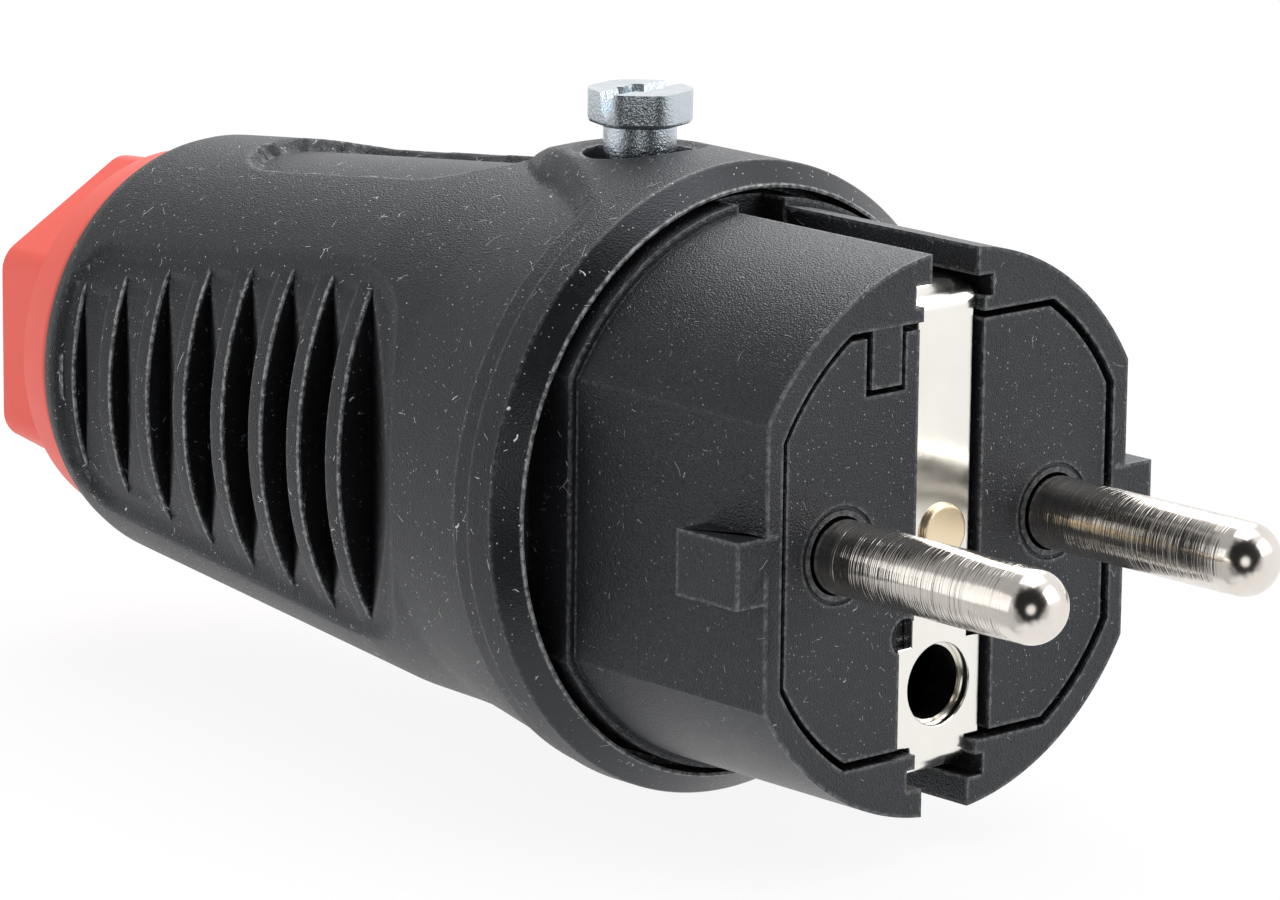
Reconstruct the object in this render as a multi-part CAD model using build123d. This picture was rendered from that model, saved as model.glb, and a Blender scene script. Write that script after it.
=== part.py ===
"""Rewireable rubber mains plug with two round pins, an earth strip and a screwed cable gland."""
from build123d import *
import math
import os

os.makedirs("parts", exist_ok=True)

# Directions: +X is the way the pins point, +Z is the side of the locking screw.
# The origin is the middle of the contact face, halfway between the pins.

# Pins and earth contact, from the plug standard
pin_diameter = 4.8
pin_length = 19.0
pin_spacing = 19.0
pin_neck_diameter = 4.4
pin_neck_front = 0.2
earth_hole_offset = 10.0
earth_pin_diameter = 4.8

# Shroud that goes into the socket
shroud_radius = 18.4
rim_stand = 0.2
rim_wall = 1.9
flat_wall = 1.45
slot_wall = 4.5
plate_gap = 0.35
slot_mouth_width = 4.1
slot_mouth_depth = 2.0
slot_undercut_width = 6.8
slot_undercut_depth = 1.4
slot_neck_width = 5.5
slot_length = 20.0
rib_length = 5.6
rib_height = 4.3
rib_stand = 2.45
rib_lead = 0.6
flange_front = -17.6
flange_step = 0.5
flange_round_front = -21.5
flange_back = -24.0

# Hook of the shroud that keys the contact plate
hook_width = 2.6
hook_drop = 3.3
hook_depth = 3.0
hook_offset = 5.75
hook_gap = 0.4

# Contact carrier
plate_thickness = 5.0
carrier_depth = 20.0
carrier_wall = 1.2
partition_wall = 1.8
pin_hole_gap = 0.15
pin_hole_depth = 1.2
ring_radius = 3.0
ring_groove = 0.18
bridge_width = 18.0
bay_window = 4.0
bridge_rear = -35.0
clamp_bed_rear = -46.0
cable_diameter = 9.0
cable_gap = 0.2

# Earth strip, folded from sheet
strip_thickness = 0.8
strip_sink = 0.55
strip_width = 4.95
strip_leg_width = 5.5
strip_eye_width = 7.4
strip_eye_top = -7.2
strip_eye_bottom = -13.8
strip_leg_length = 14.0
strip_bend = 1.0
strip_leg_sink = 0.4
strip_hole_gap = 0.3
channel_gap = 0.35

# Rivet, sleeve and bar of the earth circuit
rivet_head_diameter = 3.7
rivet_shank_diameter = 2.4
rivet_rear_head = 0.8
sleeve_wall = 0.7
sleeve_length = 16.0
sleeve_slit = 0.8
sleeve_slit_setback = 3.0
sleeve_fit = 0.1
bar_thickness = 1.0
bar_width = 6.6
bar_margin = 1.2

# Terminals and their screws
terminal_width = 6.4
terminal_height = 7.0
terminal_length = 11.0
terminal_screw_setback = 4.0
terminal_fit = 0.25
wire_hole_diameter = 3.2
terminal_screw_diameter = 3.4
terminal_head_diameter = 5.4
terminal_head_height = 1.9
terminal_screw_gap = 0.5
earth_terminal_height = 6.5
screw_slot_width = 0.8
screw_slot_depth = 0.9
thread_fit = 0.05

# Cable clamp
clamp_length = 8.0
clamp_thickness = 3.0
clamp_ear = 2.4
clamp_horn = 2.4
clamp_screw_spacing = 13.4
clamp_screw_diameter = 3.0
clamp_head_diameter = 5.2
clamp_head_height = 1.8
clamp_nut_side = 4.6
clamp_nut_thickness = 2.0
clamp_nut_cover = 1.5
clamp_nut_skin = 0.02
clamp_squeeze = 1.2

# Rubber housing
lip_front = -18.5
lip_depth = 1.6
collar_wall = 2.1
mouth_gap = 0.6
pocket_fit = 0.1
band_rear = -22.3
shoulder_rear = -24.0
shoulder_drop = 0.3
flare_rear = -30.5
flare_radius = 19.35
waist_front = -36.0
waist_radius = 18.72
waist_rear = -41.0
taper_start_radius = 18.6
tail_x = -75.3
tail_radius = 15.1
tail_round = 1.6
insert_chamber_gap = 0.2
insert_chamber_rear = -35.6
chamber_cone = 1.8
cable_chamber_rear = -49.0
seat_radius = 6.5
seat_rear = -52.0

# Grips on both sides of the housing
panel_depth = 0.7
panel_rear = -73.2
panel_front = -32.6
panel_shoulder = -38.5
panel_rear_height = 18.4
panel_front_height = 26.2
panel_corner = 3.2
grip_count = 8
grip_pitch = 4.54
grip_first = -40.2
grip_rib_width = 1.55
grip_lean = 0.36
grip_ramp = 0.65
grip_front_reach = 11.3
grip_rear_reach = 6.1
grip_reach_bend = 1.8

# Plain label field on top of the housing
label_center = -52.6
label_length = 27.0
label_width = 12.2
label_depth = 0.9

# Boss of the locking screw
lock_x = -29.4
boss_tongue_rear = -39.6
boss_nose_radius = 4.4
boss_front_width = 22.0
boss_flat_rear = -31.0
boss_hole_diameter = 7.6
boss_seat_depth = 2.4
lock_hole_gap = 0.25

# Locking screw, captive washer and nut
lock_screw_diameter = 4.9
lock_screw_length = 14.2
lock_head_diameter = 7.1
lock_head_flats = 6.2
lock_head_height = 2.3
lock_head_chamfer = 0.4
lock_head_turn = -15.0
lock_stand = 1.25
lock_travel = 3.6
lock_slot_width = 1.4
lock_slot_floor_width = 0.7
lock_slot_depth = 1.3
lock_slot_turn = 6.0
lock_socket_diameter = 2.9
lock_socket_depth = 1.6
washer_diameter = 8.2
washer_thickness = 1.0
washer_groove_depth = 0.6
washer_fit = 0.05
lock_nut_side = 8.0
lock_nut_thickness = 3.8
lock_nut_cover = 0.3

# Gland nut, slip ring and cable seal
gland_thread_radius = 11.2
gland_fit = 0.08
gland_gap = 0.06
gland_sleeve_length = 11.3
gland_sleeve_wall = 3.4
gland_flange_radius = 14.3
gland_flange_end_radius = 13.4
gland_flange_length = 3.9
gland_hex_radius = 12.9
gland_hex_length = 5.7
gland_hex_taper = 3.0
gland_hex_round = 1.0
gland_bore_radius = 5.6
gland_entry_round = 1.6
slip_ring_thickness = 1.2
seal_fit = 0.1
seal_bore_radius = 4.9
seal_cone = 3.0

# Worked-out sizes
pin_radius = pin_diameter / 2
pin_offset = pin_spacing / 2
# Both side terminals fit between the walls of the carrier
shroud_width = pin_spacing + terminal_width + 2 * (terminal_fit + carrier_wall + plate_gap + flat_wall)
plate_radius = shroud_radius - rim_wall - plate_gap
plate_width = shroud_width - 2 * (flat_wall + plate_gap)
plate_height = 2 * (shroud_radius - slot_wall - plate_gap)
flange_radius = shroud_radius + flange_step
flange_width = shroud_width + 2 * flange_step
mouth_radius = flange_radius + mouth_gap
pocket_radius = flange_radius + pocket_fit
collar_radius = pocket_radius + collar_wall
pocket_rear = flange_back - pocket_fit
leg_outer = shroud_radius - slot_mouth_depth - strip_leg_sink
strip_front = -strip_sink
strip_back = strip_front - strip_thickness
channel_width = strip_width + 2 * channel_gap
carrier_rear = -carrier_depth
bay_front = -plate_thickness
bridge_radius = plate_radius - carrier_wall
insert_chamber_radius = bridge_radius + insert_chamber_gap
bridge_floor = cable_diameter / 2 + cable_gap
boss_top = collar_radius
lock_seat = boss_top - boss_seat_depth
head_bottom = boss_top + lock_stand
washer_edge = math.sqrt(insert_chamber_radius**2 - (washer_diameter / 2) ** 2)
washer_top = washer_edge - lock_hole_gap
washer_bottom = washer_top - washer_thickness
nut_top = washer_bottom - lock_travel - lock_nut_cover
sleeve_inner = (earth_pin_diameter + sleeve_fit) / 2
sleeve_outer = sleeve_inner + sleeve_wall
terminal_front = bay_front
terminal_back = terminal_front - terminal_length
terminal_screw_x = terminal_back + terminal_screw_setback
earth_terminal_top = plate_height / 2 - carrier_wall - terminal_screw_gap - terminal_head_height
earth_terminal_low = earth_terminal_top - earth_terminal_height
partition_outer = pin_offset - terminal_width / 2 - terminal_fit
partition_inner = partition_outer - partition_wall
clamp_x = (bridge_rear + clamp_bed_rear) / 2
clamp_screw_y = clamp_screw_spacing / 2
clamp_nut_low = bridge_floor + clamp_nut_cover
clamp_nut_high = clamp_nut_low + clamp_nut_thickness
bed_radius = math.hypot(clamp_screw_y + clamp_nut_side / 2, clamp_nut_high) + clamp_nut_skin
cable_chamber_radius = bed_radius + insert_chamber_gap
clamp_arch_low = clamp_squeeze - cable_diameter / 2
clamp_bottom = clamp_arch_low - clamp_thickness
clamp_seat = clamp_bottom + clamp_head_height
gland_front = tail_x + gland_sleeve_length
flange_seat = tail_x - gland_fit
gland_hex_front = flange_seat - gland_flange_length
gland_end = gland_hex_front - gland_hex_length
slip_ring_back = gland_front + gland_gap
slip_ring_front = slip_ring_back + slip_ring_thickness
seal_back = slip_ring_front + gland_gap


def flatted_disc(radius, width, height):
    """Disc cut flat at the sides and at top and bottom."""
    return Circle(radius) & Rectangle(width, height)


def along_x(sketch, back, front):
    """Prism of a cross-section between two stations along the plug."""
    return extrude(Plane.YZ.offset(back) * sketch, amount=front - back)


def tube_x(radius, back, front, y=0.0, z=0.0):
    """Round bar along the plug."""
    return along_x(Pos(y, z) * Circle(radius), back, front)


def block(x_range, y_range, z_range):
    """Block between two stations in each direction."""
    size = [b - a for a, b in (x_range, y_range, z_range)]
    middle = [(a + b) / 2 for a, b in (x_range, y_range, z_range)]
    return Pos(*middle) * Box(*size)


def turned(points):
    """Solid of revolution about the plug's axis, from a closed outline of stations and radii."""
    return revolve(make_face(Polyline(*points, close=True)), axis=Axis.X)


def upright(radius, bottom, top, x=0.0, y=0.0):
    """Round bar standing along Z."""
    return Pos(x, y, (bottom + top) / 2) * Cylinder(radius, top - bottom)


def save(name, shape):
    """Writes one piece to its own file."""
    export_step(shape, "parts/" + name + ".step")


def tapered_radius(x):
    """Radius of the turned outside between waist and tail."""
    end_x = tail_x + tail_round
    end_radius = tail_radius + 0.1 * tail_round
    share = (waist_rear - x) / (waist_rear - end_x)
    return taper_start_radius + share * (end_radius - taper_start_radius)


def grip_slots(top):
    """Outlines of the grip slots on one side: a rib leans forward over a ramp that rises to the front."""
    tips = []
    for number in range(grip_count):
        x = grip_first - number * grip_pitch
        share = number / (grip_count - 1)
        reach = grip_front_reach - (grip_front_reach - grip_rear_reach) * share**grip_reach_bend
        tips.append((x, math.sqrt((tapered_radius(x) - panel_depth) ** 2 - reach**2)))
    outlines = []
    for number, (x, floor) in enumerate(tips):
        outline = [(x, floor), (x + grip_lean * (top - floor), top)]
        if number == 0:
            outline.append((x + (top - floor) / grip_ramp, top))
        else:
            rib_x, rib_floor = tips[number - 1]
            rib_back = rib_x - grip_rib_width - grip_lean * rib_floor
            meeting = (floor + grip_ramp * (rib_back - x)) / (1 - grip_lean * grip_ramp)
            outline.append((rib_back + grip_lean * top, top))
            outline.append((rib_back + grip_lean * meeting, meeting))
        outlines.append(outline)
    return outlines


def housing_body(inset):
    """Turned outside of the housing, made smaller all round by the inset."""
    lip_radius = mouth_radius - inset
    band_radius = collar_radius - inset
    front = lip_front
    edge = front - lip_depth
    flare_end = (flare_rear, flare_radius - inset)
    flare = (flare_rear - shoulder_rear, flare_radius - collar_radius + shoulder_drop)
    waist_start = (waist_front, waist_radius - inset)
    rear_end = (tail_x, tail_radius - tail_round - inset)
    corner_end = (tail_x + tail_round, tail_radius - inset + 0.1 * tail_round)
    outline = [
        Line((front, 0), (front, lip_radius)),
        Line((front, lip_radius), (edge, band_radius)),
        Line((edge, band_radius), (band_rear, band_radius)),
        Line((band_rear, band_radius), (shoulder_rear, band_radius - shoulder_drop)),
        Line((shoulder_rear, band_radius - shoulder_drop), flare_end),
        TangentArc(flare_end, waist_start, tangent=flare),
        Line(waist_start, (waist_rear, taper_start_radius - inset)),
        Line((waist_rear, taper_start_radius - inset), corner_end),
        TangentArc(corner_end, rear_end, tangent=(-1, -0.1)),
        Line(rear_end, (tail_x, 0)),
        Line((tail_x, 0), (front, 0)),
    ]
    return revolve(make_face(outline), axis=Axis.X)


def rubber_housing():
    """Housing with collar, screw boss, grips and the stepped room for the insert."""
    body = housing_body(0)

    # The boss grows out of the collar as a tongue and slopes down to the body behind the screw
    nose_center = boss_tongue_rear + boss_nose_radius
    tongue = make_face(
        [
            Line((lip_front - lip_depth, boss_front_width / 2), (lip_front - lip_depth, -boss_front_width / 2)),
            Spline(
                (lip_front - lip_depth, -boss_front_width / 2),
                (lock_x - 2, -boss_nose_radius - 1.0),
                (nose_center, -boss_nose_radius),
                tangents=((-0.4, 1), (-1, 0.2)),
            ),
            ThreePointArc(
                (nose_center, -boss_nose_radius),
                (boss_tongue_rear, 0),
                (nose_center, boss_nose_radius),
            ),
            Spline(
                (nose_center, boss_nose_radius),
                (lock_x - 2, boss_nose_radius + 1.0),
                (lip_front - lip_depth, boss_front_width / 2),
                tangents=((1, 0.2), (0.4, 1)),
            ),
        ]
    )
    slope = make_face(
        [
            Line((lip_front - lip_depth, 0), (lip_front - lip_depth, boss_top)),
            Line((lip_front - lip_depth, boss_top), (boss_flat_rear, boss_top)),
            Spline(
                (boss_flat_rear, boss_top),
                (boss_tongue_rear - 1.5, taper_start_radius - 0.5),
                tangents=((-1, 0), (-1, -0.9)),
            ),
            Line((boss_tongue_rear - 1.5, taper_start_radius - 0.5), (boss_tongue_rear - 1.5, 0)),
            Line((boss_tongue_rear - 1.5, 0), (lip_front - lip_depth, 0)),
        ]
    )
    boss = extrude(tongue, amount=boss_top + 1) & revolve(slope, axis=Axis.X)
    body += boss

    # Sunken panel on each side with a bowed front edge, and the grip slots in it
    panel = make_face(
        [
            Line((panel_rear, panel_rear_height / 2), (panel_rear, -panel_rear_height / 2)),
            Line((panel_rear, -panel_rear_height / 2), (panel_shoulder, -panel_front_height / 2)),
            ThreePointArc(
                (panel_shoulder, -panel_front_height / 2),
                (panel_front, 0),
                (panel_shoulder, panel_front_height / 2),
            ),
            Line((panel_shoulder, panel_front_height / 2), (panel_rear, panel_rear_height / 2)),
        ]
    )
    panel = fillet(panel.vertices(), panel_corner)
    sunken = housing_body(panel_depth)
    for side in (-1, 1):
        plate = extrude(Plane.XZ * panel, amount=-side * 2 * collar_radius)
        body -= plate - sunken
    for outline in grip_slots(collar_radius):
        for side in (-1, 1):
            slot = Polygon(*[(x, side * y) for x, y in outline], align=None)
            body -= extrude(slot, amount=collar_radius, both=True)

    # Plain field on top
    field = Pos(label_center, 0) * SlotOverall(label_length, label_width)
    body -= extrude(field, amount=collar_radius) - housing_body(label_depth)

    # Room for the insert, for the cable and for the gland
    body -= turned(
        [
            (lip_front + 1, 0),
            (lip_front + 1, mouth_radius),
            (flange_round_front, mouth_radius),
            (flange_round_front, pocket_radius),
            (pocket_rear, pocket_radius),
            (pocket_rear, insert_chamber_radius),
            (insert_chamber_rear, insert_chamber_radius),
            (insert_chamber_rear - chamber_cone, cable_chamber_radius),
            (cable_chamber_rear, cable_chamber_radius),
            (cable_chamber_rear, seat_radius),
            (seat_rear, seat_radius),
            (seat_rear, gland_thread_radius + gland_fit),
            (tail_x - 1, gland_thread_radius + gland_fit),
            (tail_x - 1, 0),
        ]
    )
    body -= upright(boss_hole_diameter / 2, lock_seat, boss_top + 1, lock_x)
    body -= upright(lock_screw_diameter / 2 + lock_hole_gap, 0, boss_top, lock_x)
    return body



def t_slot(side):
    """Room of one earth slot in the shroud, above or below the axis."""
    back = rim_stand - slot_length
    front = rim_stand + 1
    mouth_floor = shroud_radius - slot_mouth_depth
    undercut_floor = mouth_floor - slot_undercut_depth
    steps = [
        (slot_mouth_width, mouth_floor, flange_radius + 1),
        (slot_undercut_width, undercut_floor, mouth_floor),
        (slot_neck_width, plate_height / 2, undercut_floor),
    ]
    room = []
    for width, low, high in steps:
        heights = sorted((side * low, side * high))
        room.append(block((back, front), (-width / 2, width / 2), heights))
    return room


def shroud_room():
    """Opening of sleeve and flange around the contact plate."""
    return flatted_disc(
        plate_radius + plate_gap,
        plate_width + 2 * plate_gap,
        plate_height + 2 * plate_gap,
    )


def pin_shroud(half):
    """Left or right half of the sleeve around the contact plate, parted by the two earth slots."""
    outer = flatted_disc(shroud_radius, shroud_width, 2 * shroud_radius)
    body = along_x(outer, flange_front, rim_stand)
    for side in (-1, 1):
        low = side * (shroud_width / 2 - 1)
        high = side * (shroud_width / 2 + rib_stand)
        rib = block((rim_stand - rib_length, rim_stand), sorted((low, high)), (-rib_height / 2, rib_height / 2))
        body += rib
        for room in t_slot(side):
            body -= room
    body -= along_x(shroud_room(), flange_front - 1, rim_stand + 1)
    # The hook hangs down into a notch of the contact plate
    hook_low = plate_height / 2 - hook_drop
    hook = block(
        (-hook_depth, rim_stand - 0.1),
        (-hook_offset - hook_width / 2, -hook_offset + hook_width / 2),
        (hook_low, plate_height / 2 + plate_gap + 0.5),
    )
    body += hook
    return body & block(
        (flange_front, rim_stand),
        sorted((0, half * shroud_width)),
        (-shroud_width, shroud_width),
    )


def shroud_flange():
    """Flange behind the sleeve, flat-sided in the mouth of the housing and round in its pocket."""
    flange = flatted_disc(flange_radius, flange_width, 2 * flange_radius)
    body = along_x(flange, flange_round_front, flange_front)
    body += along_x(Circle(flange_radius), flange_back, flange_round_front)
    for side in (-1, 1):
        for room in t_slot(side):
            body -= room
    return body - along_x(shroud_room(), flange_back - 1, flange_front + 1)


def contact_carrier():
    """Contact plate with its three terminal bays, the nut bridge and the clamp bed."""
    outline = flatted_disc(plate_radius, plate_width, plate_height)
    body = along_x(outline, carrier_rear, 0)
    bays = along_x(
        flatted_disc(
            plate_radius - carrier_wall,
            plate_width - 2 * carrier_wall,
            plate_height - 2 * carrier_wall,
        ),
        carrier_rear - 1,
        bay_front,
    )
    for side in (-1, 1):
        walls = sorted((side * partition_outer, side * partition_inner))
        bays -= block((carrier_rear - 1, bay_front), walls, (-plate_radius, plate_radius))
    body -= bays

    # Bridge over the cable with the pocket of the locking nut, and the bed of the clamp
    bridge = along_x(outline, pocket_rear, carrier_rear + 0.5)
    bridge += along_x(Circle(bridge_radius), bridge_rear, pocket_rear)
    bridge += along_x(Circle(bed_radius), clamp_bed_rear, bridge_rear)
    bridge &= block(
        (clamp_bed_rear, carrier_rear + 0.5),
        (-bridge_width / 2, bridge_width / 2),
        (bridge_floor, bridge_radius + 1),
    )
    body += bridge
    body -= block(
        (carrier_rear - bay_window, carrier_rear + 1),
        (-partition_inner, partition_inner),
        (0, plate_height / 2 - carrier_wall),
    )
    nut_half = max(lock_nut_side, washer_diameter) / 2 + lock_hole_gap
    body -= block(
        (lock_x - nut_half, lock_x + nut_half),
        (-nut_half, nut_half),
        (nut_top - lock_nut_thickness, bridge_radius + 1),
    )
    body -= upright(lock_screw_diameter / 2 + lock_hole_gap, 0, bridge_radius, lock_x)

    # Holes and ring grooves of the pins
    for y in (-pin_offset, pin_offset):
        body -= tube_x(pin_neck_diameter / 2, bay_front - 1, 1, y)
        body -= tube_x(pin_radius + pin_hole_gap, -pin_hole_depth, 1, y)
        groove = Circle(ring_radius + ring_groove / 2) - Circle(ring_radius - ring_groove / 2)
        body -= along_x(Pos(y, 0) * groove, -ring_groove, 1)

    # Channel of the earth strip, wider round the eye
    body -= block((strip_back, 1), (-channel_width / 2, channel_width / 2), (-plate_radius, plate_radius))
    eye_half = strip_eye_width / 2 + channel_gap
    body -= block((strip_back, 1), (-eye_half, eye_half), (-plate_radius, strip_eye_top + channel_gap))
    notch = tube_x(channel_gap + 0.9, strip_back, 1, -channel_width / 2 - 0.8, strip_eye_top + 1.2)
    body -= notch
    body -= tube_x(rivet_shank_diameter / 2, bay_front - 1, 1)
    body -= tube_x(sleeve_outer + sleeve_fit, carrier_rear - 1, 1, 0, -earth_hole_offset)

    # Notch for the hook of the shroud
    body -= block(
        (-hook_depth - hook_gap, 1),
        (-hook_offset - hook_width / 2 - hook_gap, -hook_offset + hook_width / 2 + hook_gap),
        (plate_height / 2 - hook_drop - hook_gap, plate_radius),
    )

    # Screw access above the side terminals, and holes of the clamp screws
    for y in (-pin_offset, pin_offset):
        body -= upright(terminal_head_diameter / 2 + terminal_fit, 0, plate_radius, terminal_screw_x, y)
    body -= upright(terminal_head_diameter / 2 + terminal_fit, 0, plate_radius, terminal_screw_x)
    for y in (-clamp_screw_y, clamp_screw_y):
        body -= upright(clamp_screw_diameter / 2 + thread_fit, 0, bridge_radius, clamp_x, y)
        body -= clamp_nut_room(y)
    return body


def clamp_nut_room(y):
    """Pocket of one clamp nut, open at the side of the bed."""
    half = clamp_nut_side / 2 + terminal_fit
    outside = math.copysign(bridge_width, y)
    sides = sorted((y - math.copysign(half, y), outside))
    return block((clamp_x - half, clamp_x + half), sides, (clamp_nut_low, clamp_nut_high + 0.1))


def contact_pin(y):
    """Pin with its terminal block, turned and pressed from one bar."""
    middle = pin_length - pin_radius
    body = tube_x(pin_radius, pin_neck_front, middle, y)
    body += tube_x(pin_neck_diameter / 2, bay_front - 0.5, pin_neck_front + 0.5, y)
    body += Pos(middle, y, 0) * Sphere(pin_radius)
    body += block(
        (terminal_back, terminal_front),
        (y - terminal_width / 2, y + terminal_width / 2),
        (-terminal_height / 2, terminal_height / 2),
    )
    body -= tube_x(wire_hole_diameter / 2, terminal_back - 1, terminal_front - 1.5, y)
    body -= upright(terminal_screw_diameter / 2 + thread_fit, 0, terminal_height, terminal_screw_x, y)
    return body


def terminal_screw(y, block_top, block_height):
    """Slotted screw that presses the wire in its terminal."""
    head_low = block_top + terminal_screw_gap
    head_top = head_low + terminal_head_height
    tip = block_top - block_height / 2
    body = upright(terminal_screw_diameter / 2, tip, head_low, terminal_screw_x, y)
    body += upright(terminal_head_diameter / 2, head_low, head_top, terminal_screw_x, y)
    slot_low = head_top - screw_slot_depth
    body -= Pos(terminal_screw_x, y, slot_low + screw_slot_depth) * Box(
        screw_slot_width, terminal_head_diameter + 1, 2 * screw_slot_depth
    )
    return body


def earth_strip():
    """Contact strip folded from sheet: face, eye for the earth pin and two spring legs."""
    leg_top = leg_outer
    face_low = -leg_outer
    path = Polygon(
        (strip_front, leg_top),
        (strip_front, face_low),
        (strip_back - strip_leg_length, face_low),
        (strip_back - strip_leg_length, face_low + strip_thickness),
        (strip_back, face_low + strip_thickness),
        (strip_back, leg_top - strip_thickness),
        (strip_back - strip_leg_length, leg_top - strip_thickness),
        (strip_back - strip_leg_length, leg_top),
        align=None,
    )
    outside = path.vertices().filter_by(lambda corner: abs(corner.X - strip_front) < 0.01)
    path = fillet(outside, strip_bend + strip_thickness)
    inside = path.vertices().filter_by(lambda corner: abs(corner.X - strip_back) < 0.01)
    path = fillet(inside, strip_bend)
    sheet = extrude(Plane.XZ * path, amount=strip_eye_width / 2, both=True)
    # Width of the blank along its height
    half_face = strip_width / 2
    half_leg = strip_leg_width / 2
    shoulder = leg_outer - strip_bend - strip_thickness
    width = along_x(Rectangle(strip_width, 2 * shoulder), strip_back - strip_leg_length - 1, 1)
    eye_height = strip_eye_top - strip_eye_bottom
    eye = Pos(0, (strip_eye_top + strip_eye_bottom) / 2) * Rectangle(strip_eye_width, eye_height)
    width += along_x(eye, strip_back - 0.5, 1)
    for side in (-1, 1):
        heights = sorted((side * shoulder, side * (leg_outer + 1)))
        width += block((strip_back - strip_leg_length - 1, 1), (-half_leg, half_leg), heights)
    body = sheet & width
    body -= tube_x(earth_pin_diameter / 2 + strip_hole_gap, strip_back - 1, 1, 0, -earth_hole_offset)
    body -= tube_x(rivet_shank_diameter / 2, strip_back - 1, 1)
    return body


def earth_rivet():
    """Rivet that holds the strip, the plate and the earth bar together."""
    shank_back = bay_front - bar_thickness
    body = tube_x(rivet_shank_diameter / 2, shank_back, strip_front)
    head = tube_x(rivet_head_diameter / 2, strip_front, 0)
    head = chamfer(head.edges().group_by(Axis.X)[-1], strip_sink / 4)
    body += head
    body += tube_x(rivet_head_diameter / 2, shank_back - rivet_rear_head, shank_back)
    return body


def earth_sleeve():
    """Slit spring sleeve that grips the earth pin of the socket."""
    front = strip_back
    back = front - sleeve_length
    body = tube_x(sleeve_outer, back, front, 0, -earth_hole_offset)
    body -= tube_x(sleeve_inner, back - 1, front + 1, 0, -earth_hole_offset)
    slit = block((back - 1, bay_front - sleeve_slit_setback), (-sleeve_slit / 2, sleeve_slit / 2), (-plate_radius, 0))
    return body - slit


def earth_bar():
    """Bar behind the plate that joins strip, sleeve and earth terminal."""
    low = carrier_wall + terminal_fit - plate_height / 2
    high = earth_terminal_low + bar_margin
    body = block((bay_front - bar_thickness, bay_front), (-bar_width / 2, bar_width / 2), (low, high))
    body -= tube_x(rivet_shank_diameter / 2, bay_front - 2, bay_front + 1)
    body -= tube_x(sleeve_outer + sleeve_fit, bay_front - 2, bay_front + 1, 0, -earth_hole_offset)
    return body


def earth_terminal():
    """Terminal block of the earth wire."""
    top = earth_terminal_top
    body = block(
        (terminal_back, bay_front - bar_thickness),
        (-terminal_width / 2, terminal_width / 2),
        (earth_terminal_low, top),
    )
    middle = (earth_terminal_low + top) / 2
    body -= tube_x(wire_hole_diameter / 2, terminal_back - 1, bay_front - bar_thickness - 1.5, 0, middle)
    body -= upright(terminal_screw_diameter / 2 + thread_fit, middle, top + 1, terminal_screw_x)
    return body


def cable_clamp():
    """Saddle that presses the cable against the bed of the carrier."""
    ear_end = clamp_screw_y + clamp_ear
    body = block(
        (clamp_x - clamp_length / 2, clamp_x + clamp_length / 2),
        (-ear_end, ear_end),
        (clamp_bottom, clamp_arch_low + clamp_horn),
    )
    body -= tube_x(cable_diameter / 2, clamp_x - clamp_length, clamp_x + clamp_length, 0, clamp_squeeze)
    for y in (-clamp_screw_y, clamp_screw_y):
        body -= upright(clamp_screw_diameter / 2 + terminal_fit, clamp_bottom - 1, bridge_floor, clamp_x, y)
        body -= upright(clamp_head_diameter / 2 + terminal_fit, clamp_bottom - 1, clamp_seat, clamp_x, y)
    return body


def clamp_screw(y):
    """Slotted screw of the cable clamp, driven from below."""
    body = upright(clamp_screw_diameter / 2, clamp_seat, clamp_nut_high, clamp_x, y)
    body += upright(clamp_head_diameter / 2, clamp_bottom, clamp_seat, clamp_x, y)
    body -= Pos(clamp_x, y, clamp_bottom) * Box(
        screw_slot_width, clamp_head_diameter + 1, 2 * screw_slot_depth
    )
    return body


def clamp_nut(y):
    """Square nut in the bed of the carrier."""
    half = clamp_nut_side / 2
    body = block((clamp_x - half, clamp_x + half), (y - half, y + half), (clamp_nut_low, clamp_nut_high))
    return body - upright(clamp_screw_diameter / 2 + thread_fit, 0, clamp_nut_high + 1, clamp_x, y)


def lock_screw():
    """Screw that holds the insert in the housing, shown backed out against its captive washer."""
    head_top = head_bottom + lock_head_height
    tip = head_bottom - lock_screw_length
    body = upright(lock_screw_diameter / 2, tip, head_bottom, lock_x)
    # Head: round bar with six flats and broken lower and upper edges
    head = upright(lock_head_diameter / 2, head_bottom, head_top, lock_x)
    head = chamfer(head.edges().group_by(Axis.Z)[0], lock_head_chamfer)
    head &= Pos(lock_x, 0, head_bottom) * Rot(0, 0, lock_head_turn) * extrude(
        RegularPolygon(lock_head_flats / 2, 6, major_radius=False), amount=lock_head_height
    )
    body += head
    slot = Polygon(
        (-lock_slot_floor_width / 2, -lock_slot_depth),
        (lock_slot_floor_width / 2, -lock_slot_depth),
        (lock_slot_width - lock_slot_floor_width / 2, lock_slot_depth),
        (lock_slot_floor_width / 2 - lock_slot_width, lock_slot_depth),
        align=None,
    )
    slot = extrude(Plane.XZ * slot, amount=lock_head_diameter, both=True)
    body -= Pos(lock_x, 0, head_top) * Rot(0, 0, lock_slot_turn) * slot
    body -= upright(lock_socket_diameter / 2, head_top - lock_socket_depth, head_top + 1, lock_x)
    groove_low = washer_bottom - washer_fit
    groove = upright(lock_screw_diameter / 2 + 1, groove_low, washer_top + washer_fit, lock_x)
    groove -= upright(lock_screw_diameter / 2 - washer_groove_depth, groove_low - 1, washer_top + 1, lock_x)
    return body - groove


def captive_washer():
    """Washer in the groove of the locking screw, which keeps the screw in the plug."""
    inner = lock_screw_diameter / 2 - washer_groove_depth + washer_fit
    body = upright(washer_diameter / 2, washer_bottom, washer_top, lock_x)
    return body - upright(inner, washer_bottom - 1, washer_top + 1, lock_x)


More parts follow.
